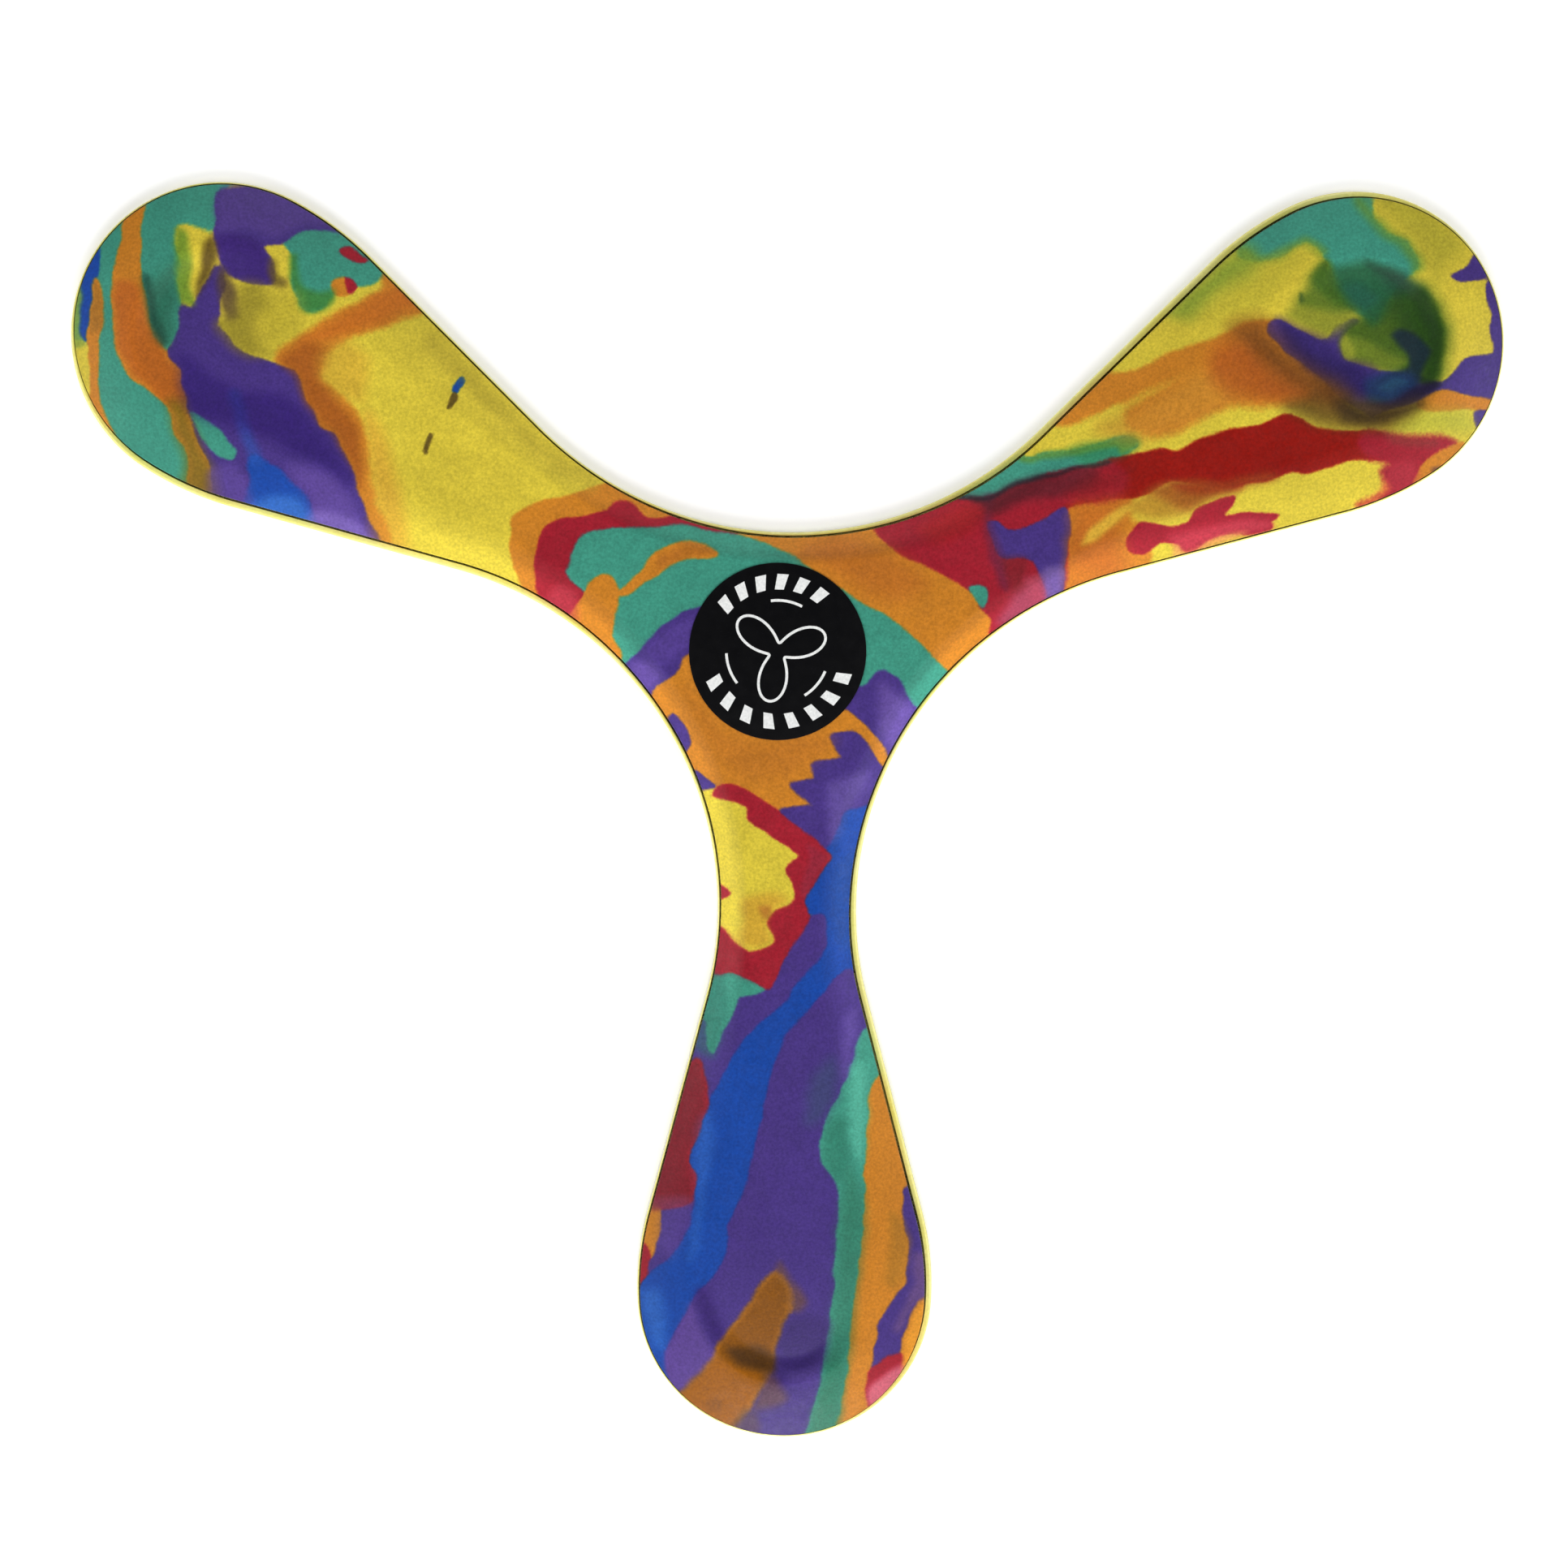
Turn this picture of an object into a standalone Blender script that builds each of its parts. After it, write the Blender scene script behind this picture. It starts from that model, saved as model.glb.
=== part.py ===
"""Three-winged throwing boomerang: a yellow backing plate, a marbled upper skin and a round hub label.

Metres, +Z up. The origin is the point of three-fold symmetry on the flat underside. The wings point to
30, 150 and 270 degrees. Seen from above it spins anticlockwise, so each wing's anticlockwise side is its
leading edge and its clockwise side is its trailing edge.
"""

import math

import bmesh
import bpy
from mathutils import Matrix, Vector

# Outline: six equal half wings, each a concave crotch arc, a straight flank, a shoulder arc and a tip arc
WING_ANGLES = (30.0, 150.0, 270.0)
WING_REACH = 0.150
CROTCH_REACH = 0.0255
CROTCH_RADIUS = 0.0663
FLANK_SLOPE = 14.8
SHOULDER_RADIUS = 0.0574
TIP_RADIUS = 0.0285
CROTCH_STEPS = 8
SHOULDER_STEPS = 4
TIP_STEPS = 12

# Heights above the underside
BASE_THICKNESS = 0.0014
PIECE_GAP = 0.0003
SKIN_BOTTOM = BASE_THICKNESS + PIECE_GAP
SKIN_TOP = 0.0052
BASE_EDGE_ROUND = 0.0006

# Skin edge, as (leading, trailing, tip) values that blend into each other round the outline
LIP_WIDTH = (0.0015, 0.0006, 0.0008)
SKIN_WALL = (0.0012, 0.0005, 0.0006)
LEAD_BLEND_END = 0.30
TIP_BLEND_START = 0.75

# Width of the bevel between the skin's wall and its flat middle, at four distances out along the wing
BEVEL_REACHES = (0.0128, 0.046, 0.100, 0.118)
BEVEL_LEADING = (0.0045, 0.0060, 0.0115, 0.0105)
BEVEL_TRAILING = (0.0045, 0.0050, 0.0105, 0.0105)

# Round scoop near each wing tip, with a floor that slopes down towards the tip
SCOOP_RADIUS = 0.0162
SCOOP_REACH = 0.122
SCOOP_DEPTH = 0.0023
SCOOP_RUN_OUT = 0.0001
SCOOP_SIDES = 64

# Round label on the hub, a little off centre
LABEL_RADIUS = 0.0166
LABEL_CENTRE = (-0.0021, 0.0032)
LABEL_THICKNESS = 0.0002
LABEL_SIDES = 72

BASE_COLOUR = (0.62, 0.52, 0.06)
SKIN_COLOUR = (0.30, 0.16, 0.12)
LABEL_COLOUR = (0.004, 0.004, 0.005)


def clear_scene():
    """Removes every object, so that the file holds only the boomerang."""
    for item in list(bpy.data.objects):
        bpy.data.objects.remove(item, do_unlink=True)


def new_collection(name):
    """An empty collection linked to the scene."""
    group = bpy.data.collections.new(name)
    bpy.context.scene.collection.children.link(group)
    return group


def plain_material(name, colour, roughness):
    """A plastic or vinyl material."""
    material = bpy.data.materials.new(name)
    material.use_nodes = True
    shader = material.node_tree.nodes["Principled BSDF"]
    shader.inputs["Base Color"].default_value = (*colour, 1.0)
    shader.inputs["Roughness"].default_value = roughness
    shader.inputs["Metallic"].default_value = 0.0
    return material


def smooth_step(low, high, value):
    """0 below low, 1 above high and a smooth rise between them."""
    share = min(1.0, max(0.0, (value - low) / (high - low)))
    return share * share * (3.0 - 2.0 * share)


def mix(first, second, share):
    return first + (second - first) * share


def arc_points(centre, radius, start, end, steps, inward):
    """(point, inward normal) pairs on an arc, angles in radians; inward is +1 if the centre is inside."""
    pairs = []
    for step in range(steps + 1):
        angle = mix(start, end, step / steps)
        spoke = Vector((math.cos(angle), math.sin(angle)))
        pairs.append((centre + radius * spoke, -inward * spoke))
    return pairs


def half_wing():
    """(point, inward normal) pairs from the crotch's middle to the wing's tip.

    Wing coordinates: x runs out along the wing and y to its anticlockwise side.
    """
    slope = math.radians(FLANK_SLOPE)
    flank = Vector((math.cos(slope), math.sin(slope)))
    inward = Vector((math.sin(slope), -math.cos(slope)))
    bisector = Vector((math.cos(math.radians(60.0)), math.sin(math.radians(60.0))))
    crotch_centre = (CROTCH_REACH + CROTCH_RADIUS) * bisector
    flank_start = crotch_centre + CROTCH_RADIUS * inward
    tip_centre = Vector((WING_REACH - TIP_RADIUS, 0.0))

    # The shoulder arc is tangent to the flank and, from outside, to the tip arc
    offset = flank_start + SHOULDER_RADIUS * inward - tip_centre
    along = offset.dot(flank)
    spread = along * along - offset.length_squared + (SHOULDER_RADIUS - TIP_RADIUS) ** 2
    flank_length = -along - math.sqrt(spread)
    shoulder_centre = flank_start + flank_length * flank + SHOULDER_RADIUS * inward
    joint = (tip_centre - shoulder_centre).normalized()
    joint_angle = math.atan2(joint.y, joint.x)

    crotch = arc_points(
        crotch_centre, CROTCH_RADIUS, math.radians(240.0), math.radians(270.0) + slope, CROTCH_STEPS, -1
    )
    shoulder = arc_points(
        shoulder_centre, SHOULDER_RADIUS, math.radians(90.0) + slope, joint_angle, SHOULDER_STEPS, 1
    )
    tip = arc_points(tip_centre, TIP_RADIUS, joint_angle, 0.0, TIP_STEPS, 1)
    return crotch + shoulder + tip[1:]


def stations(pairs):
    """How far along the half wing each point lies, from 0 at the crotch to 1 at the tip."""
    lengths = [0.0]
    for (before, _), (after, _) in zip(pairs, pairs[1:]):
        lengths.append(lengths[-1] + (after - before).length)
    return [length / lengths[-1] for length in lengths]


def edge_value(values, leading, station):
    """Blends a (leading, trailing, tip) value from the crotch, where both sides agree, to the tip."""
    crotch = (values[0] + values[1]) / 2.0
    side = values[0] if leading else values[1]
    value = mix(crotch, side, smooth_step(0.0, LEAD_BLEND_END, station))
    return mix(value, values[2], smooth_step(TIP_BLEND_START, 1.0, station))


def bevel_width(leading, reach):
    """Width of the bevel at a distance out along the wing."""
    widths = BEVEL_LEADING if leading else BEVEL_TRAILING
    width = widths[0]
    for near, far, wider in zip(BEVEL_REACHES, BEVEL_REACHES[1:], widths[1:]):
        width = mix(width, wider, smooth_step(near, far, reach))
    return width


def outline_loop():
    """The whole outline, anticlockwise: dicts of point, inward normal and the skin's edge values."""
    pairs = half_wing()
    along = stations(pairs)
    half = list(zip(pairs, along))
    loop = []
    for angle in WING_ANGLES:
        turn = Matrix.Rotation(math.radians(angle), 2)
        outward = [(pair, station, False) for pair, station in half[:-1]]
        homeward = [(pair, station, True) for pair, station in reversed(half[1:])]
        for (point, normal), station, leading in outward + homeward:
            side = 1.0 if leading else -1.0
            loop.append(
                {
                    "point": turn @ Vector((point.x, side * point.y)),
                    "inward": turn @ Vector((normal.x, side * normal.y)),
                    "lip": edge_value(LIP_WIDTH, leading, station),
                    "wall": edge_value(SKIN_WALL, leading, station),
                    "bevel": bevel_width(leading, point.x),
                }
            )
    return loop


def build_base_layer(group, loop):
    """The backing plate: the filled outline, with both edges rounded."""
    curve = bpy.data.curves.new("base_layer", "CURVE")
    curve.dimensions = "2D"
    curve.fill_mode = "BOTH"
    curve.extrude = BASE_THICKNESS / 2.0 - BASE_EDGE_ROUND
    curve.bevel_depth = BASE_EDGE_ROUND
    curve.bevel_resolution = 1
    curve.offset = -BASE_EDGE_ROUND
    spline = curve.splines.new("POLY")
    spline.points.add(len(loop) - 1)
    for control, item in zip(spline.points, loop):
        control.co = (item["point"].x, item["point"].y, 0.0, 1.0)
    spline.use_cyclic_u = True
    plate = bpy.data.objects.new("base_layer", curve)
    plate.location.z = BASE_THICKNESS / 2.0
    group.objects.link(plate)
    curve.materials.append(plain_material("yellow_plastic", BASE_COLOUR, 0.3))
    return plate


def skin_rings(loop):
    """The skin's three outline rings: the wall's foot, the wall's top and the edge of the flat middle."""
    rings = [[], [], []]
    for item in loop:
        edge = item["point"] + item["inward"] * item["lip"]
        crease = edge + item["inward"] * item["bevel"]
        rings[0].append((edge.x, edge.y, SKIN_BOTTOM))
        rings[1].append((edge.x, edge.y, SKIN_BOTTOM + item["wall"]))
        rings[2].append((crease.x, crease.y, SKIN_TOP))
    return rings


def build_top_skin(group, cutters, loop):
    """The upper skin: a loft from its wall through the bevel to the flat middle, with three scoops cut."""
    mesh = bpy.data.meshes.new("top_skin")
    shape = bmesh.new()
    rings = [[shape.verts.new(place) for place in ring] for ring in skin_rings(loop)]
    for lower, upper in zip(rings, rings[1:]):
        for index in range(len(lower)):
            after = (index + 1) % len(lower)
            shape.faces.new((lower[index], lower[after], upper[after], upper[index]))
    shape.faces.new(rings[-1])
    shape.faces.new(list(reversed(rings[0])))
    shape.to_mesh(mesh)
    shape.free()
    skin = bpy.data.objects.new("top_skin", mesh)
    group.objects.link(skin)
    mesh.materials.append(plain_material("marbled_plastic", SKIN_COLOUR, 0.5))

    for number, angle in enumerate(WING_ANGLES, start=1):
        cut = skin.modifiers.new(f"scoop_{number}", "BOOLEAN")
        cut.operation = "DIFFERENCE"
        cut.object = scoop_cutter(cutters, number, angle)
    return skin


def scoop_cutter(cutters, number, angle):
    """A drum whose lower face is the sloping floor of one scoop."""
    depth = SCOOP_DEPTH + SCOOP_RUN_OUT
    height = 3.0 * depth
    slope = math.asin(depth / (2.0 * SCOOP_RADIUS))
    mesh = bpy.data.meshes.new(f"scoop_cutter_{number}")
    shape = bmesh.new()
    bmesh.ops.create_cone(
        shape,
        cap_ends=True,
        segments=SCOOP_SIDES,
        radius1=SCOOP_RADIUS,
        radius2=SCOOP_RADIUS,
        depth=height,
        matrix=Matrix.Translation((0.0, 0.0, height / 2.0)),
    )
    shape.to_mesh(mesh)
    shape.free()
    drum = bpy.data.objects.new(f"scoop_cutter_{number}", mesh)
    floor_middle = SKIN_TOP + SCOOP_RUN_OUT - depth / 2.0
    drum.matrix_world = (
        Matrix.Rotation(math.radians(angle), 4, "Z")
        @ Matrix.Translation((SCOOP_REACH, 0.0, floor_middle))
        @ Matrix.Rotation(slope, 4, "Y")
    )
    drum.hide_render = True
    drum.display_type = "WIRE"
    cutters.objects.link(drum)
    return drum


def build_hub_label(group):
    """The thin round vinyl label."""
    bottom = SKIN_TOP + PIECE_GAP
    bpy.ops.mesh.primitive_cylinder_add(
        vertices=LABEL_SIDES,
        radius=LABEL_RADIUS,
        depth=LABEL_THICKNESS,
        location=(*LABEL_CENTRE, bottom + LABEL_THICKNESS / 2.0),
    )
    label = bpy.context.object
    label.name = "hub_label"
    label.data.name = "hub_label"
    for home in list(label.users_collection):
        home.objects.unlink(label)
    group.objects.link(label)
    label.data.materials.append(plain_material("black_vinyl", LABEL_COLOUR, 0.35))
    label.data.shade_smooth()
    label.data.set_sharp_from_angle(angle=math.radians(40.0))
    return label


def main():
    clear_scene()
    parts = new_collection("tri_blade_boomerang")
    cutters = new_collection("cutters")
    loop = outline_loop()
    build_base_layer(parts, loop)
    build_top_skin(parts, cutters, loop)
    build_hub_label(parts)


main()
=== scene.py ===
"""The finished look of the three-winged boomerang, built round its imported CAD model.

A glossy yellow backing plate shows as a thin lip all round a marbled plastic skin with bevelled edges,
a round scoop near each wing tip, and a black vinyl label with a plain white print on the hub.
"""

import math

import bmesh
import bpy
import numpy as np
from mathutils import Matrix, Vector
from mathutils.geometry import delaunay_2d_cdt


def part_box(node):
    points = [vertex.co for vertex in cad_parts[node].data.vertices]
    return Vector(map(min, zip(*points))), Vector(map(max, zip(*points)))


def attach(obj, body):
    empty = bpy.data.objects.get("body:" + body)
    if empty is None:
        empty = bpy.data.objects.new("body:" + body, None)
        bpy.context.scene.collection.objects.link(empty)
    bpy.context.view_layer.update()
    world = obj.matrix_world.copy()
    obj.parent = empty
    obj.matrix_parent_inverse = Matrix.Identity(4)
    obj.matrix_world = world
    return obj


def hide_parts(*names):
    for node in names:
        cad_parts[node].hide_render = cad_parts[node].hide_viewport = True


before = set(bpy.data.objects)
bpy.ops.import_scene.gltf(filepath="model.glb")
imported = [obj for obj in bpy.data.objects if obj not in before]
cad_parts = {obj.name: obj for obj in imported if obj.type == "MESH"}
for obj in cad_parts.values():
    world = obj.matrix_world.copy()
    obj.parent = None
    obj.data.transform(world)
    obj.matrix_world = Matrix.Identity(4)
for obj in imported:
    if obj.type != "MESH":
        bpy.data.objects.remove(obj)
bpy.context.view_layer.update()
MM = 0.001
TOLERANCE = 1e-6

# Places and heights read from the frame
PLATE_LOW, PLATE_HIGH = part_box("base_layer")
SKIN_LOW, SKIN_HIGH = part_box("top_skin")
LABEL_LOW, LABEL_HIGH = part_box("hub_label")
WING_REACH = -PLATE_LOW.y
PLATE_TOP = PLATE_HIGH.z
SKIN_BOTTOM = SKIN_LOW.z
SKIN_TOP = SKIN_HIGH.z
LABEL_CENTRE = (LABEL_LOW + LABEL_HIGH) / 2.0
LABEL_MIDDLE = np.array(LABEL_CENTRE.xy)
LABEL_RADIUS = (LABEL_HIGH.x - LABEL_LOW.x) / 2.0

# The CAD model's outline: six equal half wings, each a crotch arc, a flank, a shoulder arc and a tip arc
WING_ANGLES = (30.0, 150.0, 270.0)
HALF_ANGLE = 180.0 / len(WING_ANGLES)
CROTCH_REACH = 25.5 * MM
CROTCH_RADIUS = 66.3 * MM
FLANK_SLOPE = 14.8
SHOULDER_RADIUS = 57.4 * MM
TIP_RADIUS = 28.5 * MM
RIM_SPACING = 0.6 * MM

# The skin's edge as (leading, trailing, tip) values, and its bevel at four distances out along the wing
LIP_WIDTH = (1.5 * MM, 0.6 * MM, 0.8 * MM)
SKIN_WALL = (1.2 * MM, 0.5 * MM, 0.6 * MM)
LEAD_BLEND_END = 0.30
TIP_BLEND_START = 0.75
BEVEL_REACHES = (12.8 * MM, 46.0 * MM, 100.0 * MM, 118.0 * MM)
BEVEL_LEADING = (4.5 * MM, 6.0 * MM, 11.5 * MM, 10.5 * MM)
BEVEL_TRAILING = (4.5 * MM, 5.0 * MM, 10.5 * MM, 10.5 * MM)
BEVEL_CROWN = 0.10
CREASE_SOFTNESS = 0.25 * MM
WALL_ROUND = 0.25 * MM
WALL_ROUND_STEPS = 3
CONTACT_GAP = 0.02 * MM

# The scoops, with a floor that falls away towards the tip
SCOOP_RADIUS = 16.2 * MM
SCOOP_REACH = 122.0 * MM
SCOOP_DEPTH = 2.3 * MM
SCOOP_FALL = 2.4
SCOOP_WALL_RUN = 5.2 * MM
SCOOP_RINGS = (0.3 * MM, 0.0, -0.3 * MM)

# The skin's fine mesh: its grid, and as shares of the grid the room round its rings and the gap at which
# points merge
GRID = 0.5 * MM
GRID_CLEARANCE = 0.6
MERGE_SHARE = 1e-5
SHARP_ANGLE = math.radians(50.0)

# The backing plate's lip: its rounded nose, and the groove that it leaves along the skin's foot, with steps
# as shares of the way across and of the depth
NOSE_ROUND = 0.6 * MM
NOSE_STEPS = 6
NOSE_SHARE = 0.45
GROOVE_WIDTH = 0.45 * MM
GROOVE_SHARE = 0.5
GROOVE_DEPTH = 0.8 * MM
GROOVE_STEPS = ((0.25, 0.3), (0.5, 1.0))
GROOVE_REACH = 0.3 * MM
GROOVE_SHADE_ATTRIBUTE = "groove"

# The label and its print
LABEL_LIFT = 0.01 * MM
LABEL_THICKNESS = 0.18 * MM
LABEL_EDGE_ROUND = 0.05 * MM
LABEL_EDGE_STEPS = 3
LABEL_SIDES = 160
PRINT_THICKNESS = 0.03 * MM
PRINT_LOW = SKIN_TOP + LABEL_LIFT + LABEL_THICKNESS
PRINT_HIGH = PRINT_LOW + PRINT_THICKNESS
PRINT_RADIUS = 13.1 * MM
PRINT_UPPER = (138.0, 54.0)
PRINT_UPPER_BARS = 6
PRINT_LOWER = (206.0, 338.0)
PRINT_LOWER_BARS = 8
PRINT_BAR_WIDTH = 1.9 * MM
PRINT_BAR_HEIGHT = 2.9 * MM
PRINT_LEAN = 0.6 * MM
PRINT_LINE = 0.5 * MM
PRINT_TURN = 20.0
BLADES = 3
BLADE_HUB = 1.7 * MM
BLADE_TIP = 9.4 * MM
BLADE_SHARPNESS = 2.4
BLADE_STEPS = 40
PRINT_SWEEP_RADIUS = 9.6 * MM
PRINT_SWEEPS = ((62.0, 98.0), (182.0, 218.0), (302.0, 338.0))
PRINT_SWEEP_STEPS = 14

# Camera: its distance from the hub, the x and y of its viewing direction, its roll in degrees, and the
# place on the plate that it looks at
CAMERA_DEPTH = 450.0 * MM
CAMERA_FORWARD = (0.0144, -0.0957)
CAMERA_ROLL = 0.35
CAMERA_TARGET = (-0.7 * MM, -22.1 * MM)
CAMERA_CLIP = (0.01, 50.0)
SENSOR_WIDTH = 36.0
LENS = 54.6

# The floor, which glows a little to stay pale near the object, and more far out, past the lights
FLOOR_SIZE = 6.0
FLOOR_DROP = 0.15 * MM
FLOOR_GLOW = 0.24
FLOOR_FAR_GLOW = 0.75
FLOOR_REACHES = (0.9, 2.4)

# Equal softboxes, all at one distance: name, heading, elevation and power in watts
LIGHT_DISTANCE = 2.2
LIGHT_SIZE = 1.2
LIGHTS = (
    ("front_light", -90.0, 30.0, 42.0),
    ("right_light", -10.0, 30.0, 25.0),
    ("left_light", 190.0, 30.0, 22.0),
    ("back_light", 90.0, 32.0, 13.0),
)

# How strongly the surround lights the object, and how bright it looks itself
SURROUND_LIGHT = 0.12
SURROUND_SEEN = 0.86

# Mesh attributes that carry the marbling, its tints with their painted light and shade, and the bevels'
# painted light to its material
SHARE_ATTRIBUTES = ("pigments_1", "pigments_2")
TINT_AND_LIGHT_ATTRIBUTE = "tint_and_light"
BEVEL_LIGHT_ATTRIBUTE = "thin"

# Painted light: the skin's colour is lightened over its bevels, standing in for the light they catch: how
# much, between which shares of the bevel's width that ends, and between which distances out along the wing it
# fades to what is left at the tip
BEVEL_LIGHT_GAIN = 1.3
BEVEL_LIGHT_WINDOW = (0.55, 1.05)
BEVEL_LIGHT_REACHES = (55.0 * MM, 95.0 * MM)
BEVEL_LIGHT_AT_TIP = 0.0

# How the material draws the edges between pigments: the shares that an edge runs between, and the size and
# strength of the grain that breaks it up
EDGE_WINDOW = (0.08, 0.92)
EDGE_GRAIN = 0.7 * MM
EDGE_WANDER = 0.5

# Colours of the other materials, each from its darker to its lighter: 8-bit sRGB for the plate, the painted
# shade in the groove and the ink, and linear for the vinyl and the floor
PLATE_COLOURS = ((236, 227, 112), (244, 238, 150))
GROOVE_SHADE_COLOUR = (26, 24, 10)
INK_COLOURS = ((212, 214, 213), (236, 237, 235))
VINYL_COLOURS = ((0.0016, 0.0016, 0.0022), (0.006, 0.006, 0.008))
FLOOR_COLOURS = ((0.90, 0.90, 0.90), (0.91, 0.91, 0.91))

# The stretches of noise, which lies mostly near 0.5, that mottling, grain and sparse specks make use of
MOTTLE_WINDOW = (0.3, 0.7)
GRAIN_WINDOW = (0.25, 0.75)
SPECK_WINDOW = (0.62, 0.8)


# ---------------------------------------------------------------- marbling

# Pigments as 8-bit sRGB
PIGMENTS = {
    "yellow": (203, 183, 55),
    "orange": (190, 119, 32),
    "red": (136, 15, 6),
    "crimson": (149, 24, 40),
    "teal": (57, 138, 118),
    "purple": (65, 46, 119),
    "blue": (16, 64, 150),
    "olive": (96, 78, 26),
}

# Each patch is its pigment, the softness of its edge and the points of its outline, in mm.
# A later patch lies over an earlier one, and everything lies over yellow.
LEFT_WING = [
    ("teal", 1.0, [(-99, 91), (-104, 89), (-106.6, 86.5), (-106.5, 83.5), (-107.5, 80.5), (-110, 75),
     (-113.4, 67.5), (-114, 62), (-116, 58.5), (-115, 52), (-115.5, 48), (-112.7, 41), (-112.6, 32),
     (-126, 30), (-140, 50), (-140, 77), (-120, 94)]),
    ("purple", 0.9, [(-106.5, 86.5), (-105, 88), (-101, 88.4), (-96, 91), (-81, 84), (-82, 79.6),
     (-86, 80.2), (-90, 80.3), (-94, 79), (-97.8, 78.3), (-97, 76), (-95.8, 73.5), (-96.3, 71.4),
     (-100, 71.2), (-104.6, 73.2), (-106, 76.5), (-107, 79.5), (-106.4, 83)]),
    ("teal", 1.0, [(-94, 78.7), (-90, 80.3), (-86, 80.3), (-82.5, 80), (-74, 80), (-70, 74.5), (-76, 72.3),
     (-79.5, 70.8), (-84, 71), (-85.6, 69), (-87.3, 66.7), (-89, 66.1), (-91, 67.4), (-92.2, 70.5),
     (-92.2, 76)]),
    ("orange", 2.0, [(-74.5, 73.5), (-76, 70), (-80, 67.8), (-87, 64.3), (-90, 62), (-94.3, 59.7),
     (-96, 57.3), (-94, 55.4), (-91.5, 53.5), (-89.8, 48.5), (-87.5, 44.2), (-85, 43), (-82.5, 38),
     (-80.8, 32), (-78, 22), (-77, 17), (-74, 18), (-75.3, 25), (-78, 32), (-79.2, 42), (-81, 47.5),
     (-85, 51.5), (-87.3, 53.5), (-87, 58), (-82, 61.5), (-76, 63.5), (-72.5, 65), (-67, 67)]),
    ("purple", 0.9, [(-116, 57.5), (-114.9, 60), (-113.6, 63), (-113.2, 66.7), (-110.5, 69),
     (-108.3, 71.3), (-107, 73.8), (-105.5, 73.6), (-105.2, 71), (-106, 68.5), (-106.5, 64), (-103.8, 60),
     (-101, 58), (-95.5, 56), (-92.4, 55), (-91, 52), (-89.6, 48), (-87.5, 44.3), (-85, 43), (-82.3, 37.5),
     (-79.5, 28.5), (-77, 20), (-100, 22), (-108.8, 29), (-108.3, 36), (-111, 42), (-113.1, 50),
     (-114.2, 55)]),
    ("blue", 1.4, [(-100.6, 39), (-97.8, 38), (-94.8, 35.8), (-92, 33.2), (-90, 30.3), (-89.6, 26),
     (-103, 26), (-100.9, 34)]),
    ("teal", 0.9, [(-111.6, 47), (-109, 45.8), (-106, 43.2), (-104, 40.4), (-104.3, 38.4), (-107.2, 40),
     (-109.8, 42.8)]),
    ("orange", 0.8, [(-122.5, 88), (-123.6, 82), (-124.8, 76), (-125.9, 69), (-125.5, 62), (-124.6, 56.5),
     (-122.3, 53.5), (-118.5, 51), (-116.2, 48.5), (-114.3, 43), (-112.3, 38.5), (-112.7, 30),
     (-108.8, 29), (-108.3, 36.5), (-111, 42), (-112.7, 47.5), (-114, 54.5), (-116, 58.2), (-119, 61.5),
     (-119.5, 66), (-120.7, 74), (-120.6, 81), (-119.3, 89)]),
    ("yellow", 1.2, [(-113.8, 80.8), (-112.3, 81.6), (-107.4, 80.2), (-107, 76), (-109, 72), (-111.4, 67),
     (-113.2, 68.5), (-113.8, 72), (-113.2, 75), (-114, 79)]),
    ("blue", 0.7, [(-129.4, 79), (-128.4, 76.5), (-128.6, 73.5), (-129.5, 71), (-130, 66), (-130.6, 62.3),
     (-131.2, 60), (-132, 61.8), (-132.2, 66), (-131.7, 70), (-130.6, 74), (-129.9, 77.5)]),
    ("orange", 0.8, [(-129.1, 71.8), (-128.1, 69.5), (-127.9, 64.5), (-128.7, 60), (-129.1, 55),
     (-129, 50.5), (-127.9, 46.5), (-126, 42), (-129, 40), (-131.4, 49.5), (-131, 55), (-130.7, 60),
     (-130, 65), (-129.7, 69)]),
    ("yellow", 0.8, [(-136, 59.6), (-131.2, 59.6), (-130.9, 55), (-131.2, 49), (-136, 48)]),
    ("crimson", 0.7, [(-83.2, 77.5), (-81.6, 77.5), (-79.8, 76.2), (-78.6, 75.4), (-80.4, 75.6),
     (-82.6, 76.4)]),
    ("orange", 0.9, [(-85.2, 71.9), (-83.2, 72.1), (-82.4, 70.4), (-82.4, 69.3), (-84.3, 69.3),
     (-85.3, 70.4)]),
    ("crimson", 0.7, [(-82.8, 72), (-81.6, 71.6), (-80.9, 70.4), (-81.7, 69.6), (-82.4, 70.6)]),
    ("blue", 0.6, [(-61.2, 53.8), (-60.7, 53.2), (-61.6, 52), (-62.4, 51), (-62.5, 52.3)]),
    ("olive", 0.5, [(-62.6, 51.2), (-62.1, 50.8), (-63, 49.4), (-63.9, 48.3), (-63.6, 49.7)]),
    ("olive", 0.5, [(-67.1, 43.7), (-66.9, 43.2), (-67.6, 41.8), (-68, 40.2), (-68.3, 40.5),
     (-67.8, 42.5)]),
]
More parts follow.
